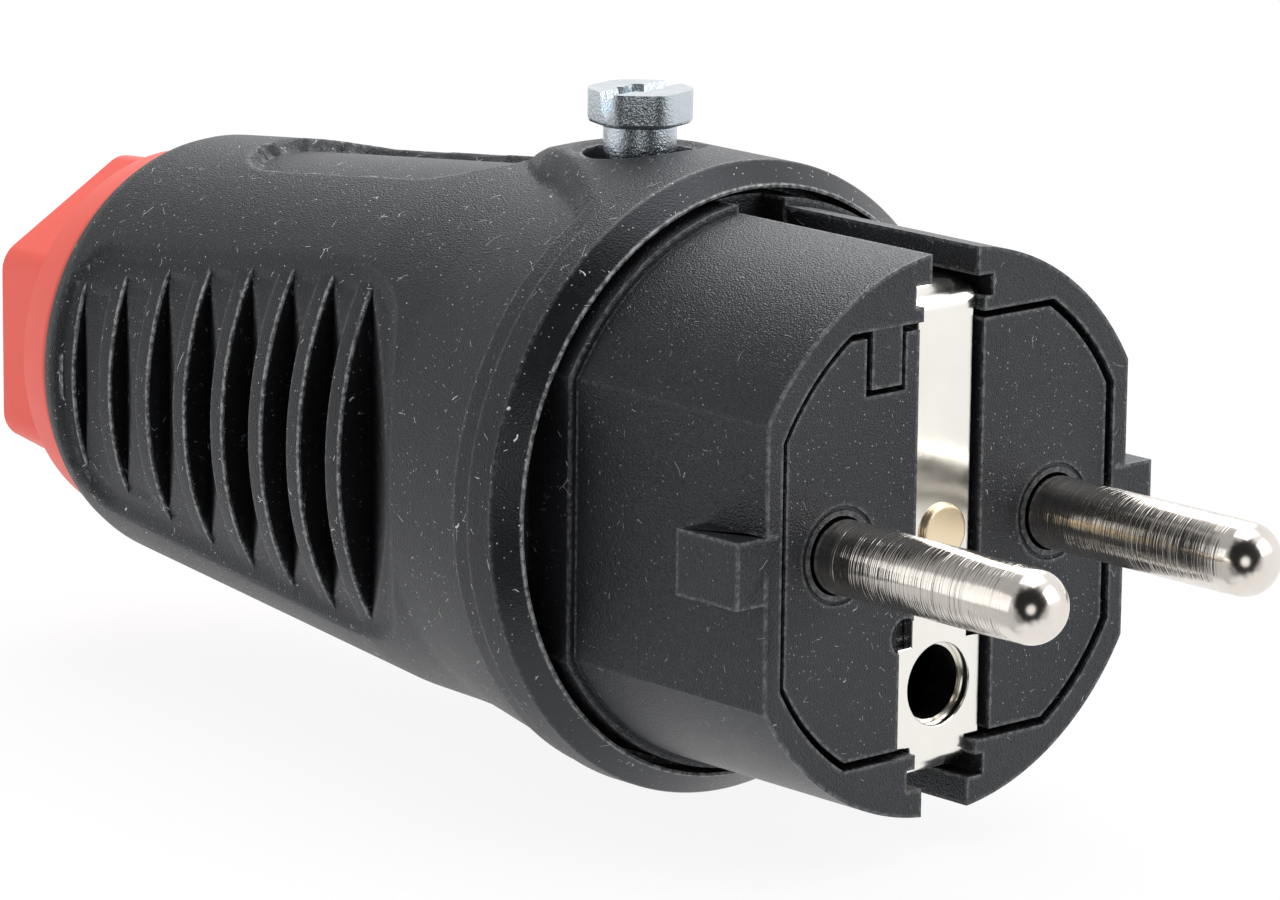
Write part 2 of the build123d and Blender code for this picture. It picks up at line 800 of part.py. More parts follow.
def lock_nut():
    """Square nut of the locking screw, held in the pocket of the carrier."""
    half = lock_nut_side / 2
    body = block((lock_x - half, lock_x + half), (-half, half), (nut_top - lock_nut_thickness, nut_top))
    return body - upright(lock_screw_diameter / 2 + thread_fit, 0, nut_top + 1, lock_x)


def gland_nut():
    """Cable gland nut with threaded sleeve, conical flange and tapered hexagon."""
    sleeve_inner_radius = gland_thread_radius - gland_sleeve_wall
    body = turned(
        [
            (gland_front, 0),
            (gland_front, gland_thread_radius),
            (flange_seat, gland_thread_radius),
            (flange_seat, gland_flange_radius),
            (gland_hex_front, gland_flange_end_radius),
            (gland_hex_front, 0),
        ]
    )
    corner = RegularPolygon(gland_hex_radius, 6, rotation=30)
    hexagon = extrude(
        Plane.YZ.offset(gland_hex_front) * fillet(corner.vertices(), gland_hex_round),
        amount=-gland_hex_length,
        taper=gland_hex_taper,
    )
    body += hexagon
    body -= tube_x(sleeve_inner_radius, flange_seat, gland_front + 1)
    body -= tube_x(gland_bore_radius, gland_end - 1, flange_seat + 1)
    return body


def gland_slip_ring():
    """Ring that slides ahead of the gland nut and keeps its turning off the seal."""
    inner = gland_thread_radius - gland_sleeve_wall
    body = tube_x(gland_thread_radius, slip_ring_back, slip_ring_front)
    return body - tube_x(inner, slip_ring_back - 1, slip_ring_front + 1)


def cable_seal():
    """Rubber seal that the gland presses round the cable."""
    front = seat_rear - gland_gap
    return turned(
        [
            (seal_back, seal_bore_radius),
            (seal_back, gland_thread_radius),
            (front - seal_cone, gland_thread_radius),
            (front, seat_radius),
            (front, seal_bore_radius),
        ]
    )


save("rubber_housing", rubber_housing())
save("pin_shroud_left", pin_shroud(1))
save("pin_shroud_right", pin_shroud(-1))
save("shroud_flange", shroud_flange())
save("contact_carrier", contact_carrier())
save("line_pin", contact_pin(-pin_offset))
save("neutral_pin", contact_pin(pin_offset))
save("line_terminal_screw", terminal_screw(-pin_offset, terminal_height / 2, terminal_height))
save("neutral_terminal_screw", terminal_screw(pin_offset, terminal_height / 2, terminal_height))
save("earth_strip", earth_strip())
save("earth_rivet", earth_rivet())
save("earth_sleeve", earth_sleeve())
save("earth_bar", earth_bar())
save("earth_terminal", earth_terminal())
save("earth_terminal_screw", terminal_screw(0, earth_terminal_top, earth_terminal_height))
save("cable_clamp", cable_clamp())
save("clamp_screw_left", clamp_screw(clamp_screw_y))
save("clamp_screw_right", clamp_screw(-clamp_screw_y))
save("clamp_nut_left", clamp_nut(clamp_screw_y))
save("clamp_nut_right", clamp_nut(-clamp_screw_y))
save("lock_screw", lock_screw())
save("captive_washer", captive_washer())
save("lock_nut", lock_nut())
save("gland_nut", gland_nut())
save("gland_slip_ring", gland_slip_ring())
save("cable_seal", cable_seal())
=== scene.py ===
import math

import bmesh
import bpy
from mathutils import Matrix, Vector


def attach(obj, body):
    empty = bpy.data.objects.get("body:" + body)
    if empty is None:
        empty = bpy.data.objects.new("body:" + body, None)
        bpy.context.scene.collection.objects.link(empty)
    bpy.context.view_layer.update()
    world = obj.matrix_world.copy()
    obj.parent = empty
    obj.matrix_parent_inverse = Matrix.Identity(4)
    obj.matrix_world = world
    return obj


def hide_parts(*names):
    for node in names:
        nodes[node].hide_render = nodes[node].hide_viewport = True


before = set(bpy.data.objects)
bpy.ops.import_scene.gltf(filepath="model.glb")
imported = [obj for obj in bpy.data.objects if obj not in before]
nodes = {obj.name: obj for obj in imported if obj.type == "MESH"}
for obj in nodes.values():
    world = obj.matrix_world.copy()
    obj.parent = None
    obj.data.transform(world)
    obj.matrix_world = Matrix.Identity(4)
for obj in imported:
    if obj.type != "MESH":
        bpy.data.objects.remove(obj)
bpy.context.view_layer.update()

scene = bpy.context.scene


# Rubber housing
# One compression-moulded piece of black rubber. The collar, the boss of the locking screw, the
# sunken grip panels and the plain field on top are all formed by the mould, so every edge is soft.

collar_radius = 21.1
lip_front, tail = -18.5, -75.3
housing_outline = [
    (lip_front, 19.6), (-20.05, collar_radius), (-22.2, collar_radius), (-22.42, 20.9), (-23.9, 20.84),
    (-24.12, 20.52), (-30.5, 19.35), (-33.2, 18.88), (-36.0, 18.72), (-41.0, 18.6), (-73.7, 15.26),
    (-74.6, 15.0), (-75.12, 14.6), (tail, 14.0),
]
housing_room = [
    (tail, 11.28), (-52.0, 11.28), (-52.0, 6.5), (-49.0, 6.5), (-49.0, 12.4), (-37.4, 12.4),
    (-35.6, 15.15), (-24.1, 15.15), (-24.1, 19.0), (-21.5, 19.0), (-21.4, 19.45), (-18.55, 19.45),
]

# The boss from its tip to the collar: station, half width and height over the axis
boss_line = [
    (-40.4, 0.0, 18.5), (-39.5, 0.6, 18.9), (-38.4, 1.9, 19.3), (-36.8, 3.0, 19.85), (-35.1, 4.1, 20.3),
    (-33.3, 4.9, 20.7), (-31.3, 5.75, 21.0), (-29.5, 6.7, collar_radius), (-26.6, 8.35, collar_radius),
    (-23.9, 10.2, collar_radius), (-20.0, 13.5, collar_radius),
]
boss_wall = 1.5
boss_rear, boss_front = -39.7, -20.3
boss_slope = 0.85
lock_axis = -29.4
boss_hole_radius, boss_hole_floor, boss_hole_top = 3.8, 18.7, 26.0
hole_dish_depth, hole_dish_width = 0.45, 0.7
lock_bore_radius, lock_bore_low, lock_bore_high = 2.7, 10.0, 20.0
panel_rear, panel_shoulder, panel_front = -73.2, -38.5, -32.6
panel_rear_half, panel_front_half = 9.2, 13.1
panel_corner = 3.2
panel_depth = 0.7
panel_border, panel_lap, panel_floor_from = 1.05, 0.3, 0.5
panel_side_share = 0.4
grip_first, grip_pitch, grip_count = -40.2, 4.54, 8
grip_front_reach, grip_rear_reach, grip_reach_bend = 11.3, 6.1, 1.8
rib_width, rib_lean, rib_edge = 1.55, 0.36, 0.16
rib_proud = 0.2
grip_ramp = 0.65
ledge_width, ledge_edge = 0.7, 0.3
lean_low, lean_middle = 12.4, 15.0
lean_front, lean_front_reach, lean_rear_reach = -25.0, 7.5, 2.6
field_middle, field_half_length, field_half_width = -52.6, 13.6, 6.1
field_depth, field_wall = 0.9, 0.3


def along(table, at, column=1):
    """Value of a table at one station along the plug."""
    rows = sorted(table)
    if at <= rows[0][0]:
        return rows[0][column]
    for low, high in zip(rows, rows[1:]):
        if at <= high[0]:
            share = (at - low[0]) / (high[0] - low[0])
            return low[column] + share * (high[column] - low[column])
    return rows[-1][column]


def ease(value):
    """Soft step from 0 to 1."""
    value = min(max(value, 0.0), 1.0)
    return value * value * (3 - 2 * value)


def skin_radius(at):
    """Turned outline of the housing with its edges rounded by the mould."""
    reach = 0.06 if at > -25 or at < -72 else 0.35
    shifts = [reach * step / 2 for step in range(-2, 3)]
    return sum(along(housing_outline, at + shift) for shift in shifts) / len(shifts)


def panel_inside(at, height):
    """How far a point of the side lies within the outline of the sunken panel."""
    share = (at - panel_rear) / (panel_shoulder - panel_rear)
    inner = panel_rear_half + share * (panel_front_half - panel_rear_half) - height
    rise = panel_front - panel_shoulder
    bow = (panel_front_half ** 2 + rise ** 2) / 2 / rise
    ahead = bow - math.hypot(max(at - panel_front + bow, 0.0), height)
    edge = min(at - panel_rear, ahead)
    if inner < panel_corner and edge < panel_corner:
        return panel_corner - math.hypot(panel_corner - inner, panel_corner - edge)
    return min(inner, edge)


# The floor of each grip and the place of the rib behind it, in stations that lean with the ribs
grips = []
for number in range(grip_count):
    tip = grip_first - number * grip_pitch
    behind = number / (grip_count - 1)
    half = grip_front_reach - (grip_front_reach - grip_rear_reach) * behind ** grip_reach_bend
    floor_height = math.sqrt((along(housing_outline, tip) - panel_depth) ** 2 - half ** 2)
    grips.append((tip + rib_lean * (lean_middle - floor_height), tip, floor_height, half))


def edge_drop(distance, depth):
    """How far a rib's rounded edge falls, at a distance from the edge of a grip of some depth."""
    if distance >= rib_edge or depth <= 0:
        return 0.0
    fall = rib_edge - math.sqrt(rib_edge ** 2 - (rib_edge - distance) ** 2)
    return min(fall, depth)


def grip_height(station, sideways, height):
    """Height of the side wall over the plug's middle plane, with ribs left between ramps."""
    for number, (rib_front, tip, floor_height, half) in enumerate(grips):
        ahead = grips[number - 1][0] - rib_width if number else lip_front
        if rib_front < station < ahead:
            shift = station - rib_lean * lean_middle - tip
            ramp = (floor_height + grip_ramp * shift) / (1 - grip_ramp * rib_lean)
            proud = rib_proud * ease((half + ledge_width - height) / ledge_edge) if number else 0.0
            return min(sideways - proud, ramp)
    drop = 0.0
    for number, (rib_front, tip, floor_height, half) in enumerate(grips):
        if rib_front - rib_width <= station <= rib_front:
            drop = edge_drop(rib_front - station, sideways - floor_height)
            if number + 1 < grip_count:
                low = grips[number + 1]
                shift = rib_front - rib_width - rib_lean * lean_middle - low[1]
                ramp = (low[2] + grip_ramp * shift) / (1 - grip_ramp * rib_lean)
                inside = ease((low[3] + ledge_width - height) / ledge_edge)
                depth = max(sideways - ramp, rib_proud * inside)
                drop = max(drop, edge_drop(station - rib_front + rib_width, depth))
    return sideways - drop


def moulded_point(station, around):
    """Place and radius of the moulded skin for a station and an angle from the top."""
    side = abs(math.sin(around))
    top = math.cos(around)
    leaning = rib_lean * ease((lean_front - station) / lean_front_reach)
    leaning *= ease((station - tail) / lean_rear_reach)
    at = station
    for _ in range(3):
        at = station + leaning * (max(skin_radius(at) * side, lean_low) - lean_middle)
    if min(at, station) < tail + 0.05:
        return station, skin_radius(station)
    radius = skin_radius(at)
    sideways = radius * side
    if top > 0 and at > boss_line[0][0]:
        inside = min((along(boss_line, at) - sideways) * boss_slope, at - boss_rear)
        rise = 1 - min(max(inside / boss_wall, 0.0), 1.0)
        boss_top = along(boss_line, at, 2)
        if boss_top > radius and at < boss_front:
            radius += (boss_top - radius) * (1 - rise * rise)
        from_hole = math.hypot(at - lock_axis, sideways)
        radius -= hole_dish_depth * (1 - ease((from_hole - boss_hole_radius) / hole_dish_width))
    if side > panel_side_share:
        height = abs(radius * top)
        inside = panel_inside(at, height)
        if inside > -panel_lap:
            radius -= panel_depth * ease((inside + panel_lap) / panel_border)
        if inside > panel_floor_from:
            radius = grip_height(station, radius * side, height) / side
            at = station + leaning * (max(radius * side, lean_low) - lean_middle)
    if top > 0:
        beyond = max(abs(at - field_middle) - field_half_length + field_half_width, 0)
        inside = field_half_width - math.hypot(beyond, sideways)
        radius -= field_depth * min(max(inside / field_wall + 0.5, 0.0), 1.0)
    return at, radius


def spun(points, steps):
    """Surface of revolution about the plug's axis from stations and radii."""
    made = bmesh.new()
    corners = [made.verts.new((at, 0, radius)) for at, radius in points]
    for first, second in zip(corners, corners[1:]):
        made.edges.new((first, second))
    bmesh.ops.spin(
        made,
        geom=made.verts[:] + made.edges[:],
        cent=(0, 0, 0),
        axis=(1, 0, 0),
        dvec=(0, 0, 0),
        angle=2 * math.pi,
        steps=steps,
        use_merge=True,
    )
    bmesh.ops.remove_doubles(made, verts=made.verts, dist=0.0005)
    bmesh.ops.recalc_face_normals(made, faces=made.faces)
    return made


def upright_bar(radius, low, high, at, sides=96):
    """Round bar along Z."""
    made = bmesh.new()
    place = Matrix.Translation((at, 0, (low + high) / 2))
    bmesh.ops.create_cone(
        made, cap_ends=True, segments=sides, radius1=radius, radius2=radius, depth=high - low, matrix=place
    )
    return made


def settled(part):
    """Object's mesh with its modifiers applied, as a bmesh."""
    graph = bpy.context.evaluated_depsgraph_get()
    result = bmesh.new()
    result.from_mesh(bpy.data.meshes.new_from_object(part.evaluated_get(graph)))
    return result


def joined(made, tool, how="DIFFERENCE"):
    """Cuts the tool from the shape, or adds it."""
    pair = []
    for shape in (made, tool):
        mesh = bpy.data.meshes.new("working")
        shape.to_mesh(mesh)
        shape.free()
        pair.append(bpy.data.objects.new("working", mesh))
        scene.collection.objects.link(pair[-1])
    change = pair[0].modifiers.new("change", "BOOLEAN")
    change.operation = how
    change.solver = "EXACT"
    change.object = pair[1]
    result = settled(pair[0])
    for part in pair:
        bpy.data.objects.remove(part)
    bmesh.ops.remove_doubles(result, verts=result.verts, dist=0.0005)
    return result


def placed(name, made, sharp=40.0):
    """Object of a shape drawn in millimetres, shaded smooth except over sharp edges."""
    bmesh.ops.scale(made, vec=(0.001, 0.001, 0.001), verts=made.verts)
    mesh = bpy.data.meshes.new(name)
    made.to_mesh(mesh)
    made.free()
    mesh.shade_smooth()
    mesh.set_sharp_from_angle(angle=math.radians(sharp))
    piece = bpy.data.objects.new(name, mesh)
    scene.collection.objects.link(piece)
    return piece


def colour(code):
    """Linear colour of an sRGB hex value."""
    parts = [int(code[place:place + 2], 16) / 255 for place in (1, 3, 5)]
    linear = [part / 12.92 if part <= 0.04045 else ((part + 0.055) / 1.055) ** 2.4 for part in parts]
    return (*linear, 1.0)


def add(tree, kind, links=None, **settings):
    """Adds a node: links join its sockets or give them values, and settings are its own properties."""
    made = tree.nodes.new(kind)
    for name, value in settings.items():
        setattr(made, name, value)
    for name, value in (links or {}).items():
        socket = made.inputs[name]
        if isinstance(value, bpy.types.NodeSocket):
            tree.links.new(value, socket)
        else:
            socket.default_value = value
    return made


def material(name):
    """Empty material: its node tree and the principled shader joined to its output."""
    made = bpy.data.materials.new(name)
    made.use_nodes = True
    tree = made.node_tree
    tree.nodes.clear()
    shader = add(tree, "ShaderNodeBsdfPrincipled")
    add(tree, "ShaderNodeOutputMaterial", {"Surface": shader.outputs["BSDF"]})
    return made, tree, shader


# Stations lie close where the ribs and the edges are, and angles closer above than below
crowding = 0.34
stations = [lip_front, -18.56, -18.62, -18.9, -19.3, -19.7, -19.9, -19.97, -20.05, -20.13, -20.3]
stations += [-21.2, -22.1, -22.16, -22.22, -22.32, -22.4, -22.46, -22.54, -23.2, -23.8, -23.86, -23.92]
stations += [-24.02, -24.1, -24.16, -24.24]
stations += [-24.24 - 0.36 * step for step in range(1, 27)]
stations += [-33.8 - 0.27 * step for step in range(0, 22)]
for number, (rib_front, tip, floor_height, half) in enumerate(grips):
    rounding = [0.0, 0.25 * rib_edge, 0.6 * rib_edge, rib_edge]
    stations += [rib_front - inset for inset in rounding]
    stations += [rib_front - rib_width + inset for inset in rounding]
    stations += [rib_front - rib_width / 2, rib_front + 0.02, rib_front - rib_width - 0.02]
    room = grips[number - 1][0] - rib_width - rib_front if number else 0
    stations += [rib_front + room * share for share in (0.17, 0.33, 0.5, 0.67, 0.83) if number]
stations += [grips[-1][0] - rib_width - 0.4 * step for step in range(1, 3)]
stations += [-74.1, -74.4, -74.7, -74.85, -75.0, -75.12, -75.2, -75.26, tail]
stations = sorted(set(stations), reverse=True)
skin = [(at, skin_radius(at)) for at in stations]
shell = spun(skin + housing_room + [skin[0]], 330)
for corner in shell.verts:
    at = corner.co.x
    reach = math.hypot(corner.co.y, corner.co.z)
    around = math.atan2(corner.co.y, corner.co.z)
    around -= crowding * math.sin(around)
    if abs(reach - skin_radius(at)) < 0.02:
        at, reach = moulded_point(at, around)
    corner.co = (at, reach * math.sin(around), reach * math.cos(around))
shell = joined(shell, upright_bar(boss_hole_radius, boss_hole_floor, boss_hole_top, lock_axis))
shell = joined(shell, upright_bar(lock_bore_radius, lock_bore_low, lock_bore_high, lock_axis))

# Corners that all but meet on the hole's rim are merged, so that no slivers are left there
rim = []
for corner in shell.verts:
    from_axis = math.hypot(corner.co.x - lock_axis, corner.co.y)
    if abs(from_axis - boss_hole_radius) < 0.01:
        rim.append(corner)
bmesh.ops.remove_doubles(shell, verts=rim, dist=0.05)

mm = 0.001


def cells(size):
    """Scale of a pattern whose cells measure a number of millimetres."""
    return 1 / (size * mm)


def dust_and_edge_highlight(tree, place, tone, amount, edge_highlight_share):
    """Lays light dust and short fibres over a colour, and paints the outer edges a little lighter in patches,
    as a painted highlight along the edges.

    Specks are up to 0.13 mm across in cells of 0.33 mm, and fibres 0.04 mm thick follow the walls of
    bent cells of 3.1 mm, broken into short lengths.
    """
    patches = add(tree, "ShaderNodeTexNoise", {"Vector": place, "Scale": cells(0.4), "Detail": 3.0})
    # Painted highlight: convex edges, found by ambient occlusion from inside, are painted lighter in patches,
    # in place of the thin highlights along them
    thin = add(
        tree, "ShaderNodeAmbientOcclusion", {"Distance": 0.3 * mm},
        samples=4, inside=True, only_local=True,
    )
    edge = add(
        tree, "ShaderNodeMapRange", {"Value": thin.outputs["AO"], "From Min": 0.975, "From Max": 0.8},
    )
    broken = add(
        tree, "ShaderNodeMapRange",
        {"Value": patches.outputs["Fac"], "From Min": 0.4, "From Max": 0.62, "To Min": 0.2},
    )
    painted_edge_highlight = add(
        tree, "ShaderNodeMath", {0: edge.outputs["Result"], 1: broken.outputs["Result"]},
        operation="MULTIPLY",
    )
    painted_edge_highlight = add(tree, "ShaderNodeMath", {0: painted_edge_highlight.outputs["Value"], 1: edge_highlight_share}, operation="MULTIPLY")
    grid = add(tree, "ShaderNodeTexVoronoi", {"Vector": place, "Scale": cells(1 / 3)})
    speck = add(
        tree, "ShaderNodeMapRange", {"Value": grid.outputs["Distance"], "From Min": 0.2, "From Max": 0.1},
    )
    pick = add(tree, "ShaderNodeSeparateColor", {"Color": grid.outputs["Color"]})
    seldom = add(
        tree, "ShaderNodeMapRange", {"Value": pick.outputs[0], "From Min": 0.66, "From Max": 1.0},
    )
    specks = add(
        tree, "ShaderNodeMath", {0: speck.outputs["Result"], 1: seldom.outputs["Result"]},
        operation="MULTIPLY",
    )
    bend = add(tree, "ShaderNodeTexNoise", {"Vector": place, "Scale": cells(10 / 7), "Detail": 1.0})
    swing = add(
        tree, "ShaderNodeVectorMath", {0: bend.outputs["Color"], 1: (mm, mm, mm)},
        operation="MULTIPLY",
    )
    bent = add(tree, "ShaderNodeVectorMath", {0: place, 1: swing.outputs["Vector"]}, operation="ADD")
    walls = add(
        tree, "ShaderNodeTexVoronoi", {"Vector": bent.outputs["Vector"], "Scale": cells(3.125)},
        feature="DISTANCE_TO_EDGE",
    )
    line = add(
        tree, "ShaderNodeMapRange",
        {"Value": walls.outputs["Distance"], "From Min": 0.0065, "From Max": 0.003},
    )
    spread = add(tree, "ShaderNodeTexNoise", {"Vector": place, "Scale": cells(10 / 13), "Detail": 0.0})
    short = add(
        tree, "ShaderNodeMapRange", {"Value": spread.outputs["Fac"], "From Min": 0.68, "From Max": 0.72},
    )
    fibre = add(
        tree, "ShaderNodeMath", {0: line.outputs["Result"], 1: short.outputs["Result"]},
        operation="MULTIPLY",
    )
    dust = add(
        tree, "ShaderNodeMath", {0: specks.outputs["Value"], 1: fibre.outputs["Value"]},
        operation="MAXIMUM",
    )
    dust = add(tree, "ShaderNodeMath", {0: dust.outputs["Value"], 1: amount}, operation="MULTIPLY")
    dust_and_painted_highlight = add(
        tree, "ShaderNodeMath", {0: dust.outputs["Value"], 1: painted_edge_highlight.outputs["Value"]},
        operation="MAXIMUM",
    )
    mixed = add(tree, "ShaderNodeMix", data_type="RGBA")
    tree.links.new(dust_and_painted_highlight.outputs["Value"], mixed.inputs[0])
    tree.links.new(tone, mixed.inputs[6])
    mixed.inputs[7].default_value = colour("#D2D4D5")
    return mixed.outputs[2]


# Black rubber, moulded: deep black with a dull, slightly clouded shine and a fine grain of 0.13 mm,
# which softens the highlights, and light dust and fibres that cling to it
rubber, tree, shader = material("moulded_black_rubber")
place = add(tree, "ShaderNodeTexCoord").outputs["Object"]
clouds = add(
    tree, "ShaderNodeTexNoise",
    {"Vector": place, "Scale": cells(25 / 3), "Detail": 5.0, "Roughness": 0.65},
)
tone = add(tree, "ShaderNodeValToRGB", {"Fac": clouds.outputs["Fac"]})
tone.color_ramp.elements[0].position = 0.3
tone.color_ramp.elements[0].color = colour("#101113")
tone.color_ramp.elements[1].position = 0.72
tone.color_ramp.elements[1].color = colour("#1E1F21")
# Dust and fibres, and a painted highlight along the outer edges
tree.links.new(dust_and_edge_highlight(tree, place, tone.outputs["Color"], 1.0, 0.45), shader.inputs["Base Color"])
shine = add(tree, "ShaderNodeMapRange", {"Value": clouds.outputs["Fac"], "To Min": 0.36, "To Max": 0.5})
# The slanting front of the lip is smoother, so it stands out as a clear ring round the mouth
lip_smoother = 0.17
split = add(tree, "ShaderNodeSeparateXYZ", {"Vector": place})
lip = add(
    tree, "ShaderNodeMapRange",
    {"Value": split.outputs["X"], "From Min": -20.2 * mm, "From Max": -20.0 * mm, "To Max": lip_smoother},
)
shine = add(
    tree, "ShaderNodeMath", {0: shine.outputs["Result"], 1: lip.outputs["Result"]},
    operation="SUBTRACT",
)
tree.links.new(shine.outputs["Value"], shader.inputs["Roughness"])
grain = add(tree, "ShaderNodeTexNoise", {"Vector": place, "Scale": cells(0.125), "Detail": 1.0})
shader.inputs["Specular Tint"].default_value = colour("#F2F6FF")
grainy = add(
    tree, "ShaderNodeMapRange",
    {"Value": lip.outputs["Result"], "From Max": lip_smoother, "To Min": 1.0, "To Max": 0.25},
)
bump = add(
    tree, "ShaderNodeBump",
    {"Height": grain.outputs["Fac"], "Strength": grainy.outputs["Result"], "Distance": 0.11 * mm},
)
tree.links.new(bump.outputs["Normal"], shader.inputs["Normal"])

housing = placed("housing", shell, 60.0)
housing.data.materials.append(rubber)
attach(housing, "plug")
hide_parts("rubber_housing")


# Shroud
# Black plastic sleeve that slides into the socket, with flat sides, an earth slot above and below,
# a rib on each side and a hook that keys the contact plate. Injection-moulded, with its flange behind.

shroud_radius = 18.4
shroud_half_width = 15.95
shroud_front, shroud_rear = 0.2, -17.6
plate_radius, plate_half_width, plate_half_height = 16.15, 14.15, 13.55
plate_gap = 0.5
shroud_edge, plate_edge = 0.16, 0.2
rib_rear, rib_root, rib_top, rib_half = -5.4, 14.95, 18.4, 2.15
hook_low, hook_high = (-3.0, -7.05, 10.25), (0.1, -4.45, 14.4)

# Half width and the heights between which each step of an earth slot is cut; the steps overlap
slot_steps = [(3.4, 15.0, 16.4), (2.05, 15.7, 21.0), (2.7, 12.5, 15.7)]
slot_rear, slot_front = -19.8, 3.0


def bar_x(radius, rear, front, y=0.0, z=0.0, sides=72):
    """Round bar along the plug."""
    made = bmesh.new()
    place = Matrix.Translation(((front + rear) / 2, y, z)) @ Matrix.Rotation(math.radians(90), 4, "Y")
    bmesh.ops.create_cone(
        made, cap_ends=True, segments=sides, radius1=radius, radius2=radius, depth=front - rear,
        matrix=place,
    )
    return made


def flat_sided(radius, half_width, half_height, rear, front):
    """Bar along the plug with a round outline cut flat at the sides and above and below."""
    made = bar_x(radius, rear, front, sides=180)
    limits = [(half_width, (0, 1, 0)), (half_width, (0, -1, 0))]
    limits += [(half_height, (0, 0, 1)), (half_height, (0, 0, -1))]
    for reach, normal in limits:
        if reach < radius:
            direction = Vector(normal)
            bmesh.ops.bisect_plane(
                made, geom=made.verts[:] + made.edges[:] + made.faces[:], plane_co=direction * reach,
                plane_no=direction, clear_outer=True,
            )
            rim = [edge for edge in made.edges if edge.is_boundary]
            bmesh.ops.contextual_create(made, geom=rim)
    bmesh.ops.recalc_face_normals(made, faces=made.faces)
    return made


def brick(low, high):
    """Block between two corners."""
    made = bmesh.new()
    size = Vector(high) - Vector(low)
    middle = (Vector(high) + Vector(low)) / 2
    bmesh.ops.create_cube(made, size=1.0, matrix=Matrix.Translation(middle) @ Matrix.Diagonal((*size, 1)))
    return made


def softened(made, reach, angle=30.0, shortest=0.0):
    """Rounds the sharp edges of a shape that are longer than the shortest."""
    bmesh.ops.dissolve_limit(
        made, angle_limit=math.radians(0.5), verts=made.verts, edges=made.edges, use_dissolve_boundaries=False
    )
    bmesh.ops.recalc_face_normals(made, faces=made.faces)
    sharp = []
    for edge in made.edges:
        turned = len(edge.link_faces) == 2 and edge.calc_face_angle() > math.radians(angle)
        if turned and edge.calc_length() > shortest:
            sharp.append(edge)
    bmesh.ops.bevel(
        made, geom=sharp, offset=reach, offset_type="OFFSET", affect="EDGES", segments=3, profile=0.5,
        material=-1, clamp_overlap=True,
    )
    return made


def even(piece):
    """Keeps the flat faces of a piece with rounded edges evenly shaded."""
    finish = piece.modifiers.new("even", "WEIGHTED_NORMAL")
    finish.keep_sharp = True
    finish.weight = 50


sleeve = flat_sided(shroud_radius, shroud_half_width, shroud_radius, shroud_rear, shroud_front)
for side in (-1, 1):
    low, high = sorted((side * rib_root, side * rib_top))
    sleeve = joined(sleeve, brick((rib_rear, low, -rib_half), (shroud_front, high, rib_half)), "UNION")
room = flat_sided(
    plate_radius + plate_gap, plate_half_width + plate_gap, plate_half_height + plate_gap,
    shroud_rear - 1, shroud_front + 1,
)
sleeve = joined(sleeve, room)
sleeve = joined(sleeve, brick(hook_low, hook_high), "UNION")

# The slots come last, because they part the sleeve into its two halves
for side in (-1, 1):
    for half, low, high in slot_steps:
        low, high = sorted((side * low, side * high))
        sleeve = joined(sleeve, brick((slot_rear, -half, low), (slot_front, half, high)))
sleeve = softened(sleeve, shroud_edge)

# Black plastic, moulded: smoother than the rubber, with a soft sheen, a fainter grain of 0.13 mm and
# some dust, so that it looks harder
plastic, tree, shader = material("moulded_black_plastic")
place = add(tree, "ShaderNodeTexCoord").outputs["Object"]
clouds = add(
    tree, "ShaderNodeTexNoise", {"Vector": place, "Scale": cells(6.25), "Detail": 5.0, "Roughness": 0.65},
)
tone = add(tree, "ShaderNodeValToRGB", {"Fac": clouds.outputs["Fac"]})
tone.color_ramp.elements[0].position = 0.3
tone.color_ramp.elements[0].color = colour("#0F1012")
tone.color_ramp.elements[1].position = 0.75
tone.color_ramp.elements[1].color = colour("#1D1E21")
# Dust and fibres, and a fainter painted highlight along the outer edges
tree.links.new(dust_and_edge_highlight(tree, place, tone.outputs["Color"], 0.45, 0.15), shader.inputs["Base Color"])
shine = add(tree, "ShaderNodeMapRange", {"Value": clouds.outputs["Fac"], "To Min": 0.3, "To Max": 0.42})
tree.links.new(shine.outputs["Result"], shader.inputs["Roughness"])
grain = add(tree, "ShaderNodeTexNoise", {"Vector": place, "Scale": cells(0.125), "Detail": 1.0})
shader.inputs["Specular Tint"].default_value = colour("#F2F6FF")
bump = add(
    tree, "ShaderNodeBump", {"Height": grain.outputs["Fac"], "Strength": 1.0, "Distance": 0.08 * mm},
)
tree.links.new(bump.outputs["Normal"], shader.inputs["Normal"])

shroud = placed("shroud", sleeve)
shroud.data.materials.append(plastic)
even(shroud)
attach(shroud, "plug")
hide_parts("pin_shroud_left", "pin_shroud_right")


# Flange of the shroud
# Part of the same moulding, kept as it comes from the frame. Only its front edge shows, in the
# mouth of the housing.

flange = nodes["shroud_flange"]
flange.data.materials.clear()
flange.data.materials.append(plastic)


# Contact plate
# Black plastic plate that carries the pins and the earth strip, moulded with a shallow ring groove
# round each pin hole. The frame's own carrier goes on behind it.

plate_rear = -4.0
pin_offset = 9.5
pin_hole_radius, ring_inner, ring_outer, ring_depth = 2.55, 2.9, 3.2, 0.12
earth_hole, earth_hole_radius = -10.0, 3.3
channel_depth, channel_half, channel_wide_half, channel_wide_top = 1.35, 2.85, 4.1, -6.85
nick_radius, nick_y, nick_z = 1.2, -3.6, -6.2
hook_room_low, hook_room_high = (-3.4, -7.45, 9.85), (1.0, -4.05, 20.0)
plate = flat_sided(plate_radius, plate_half_width, plate_half_height, plate_rear, 0.0)

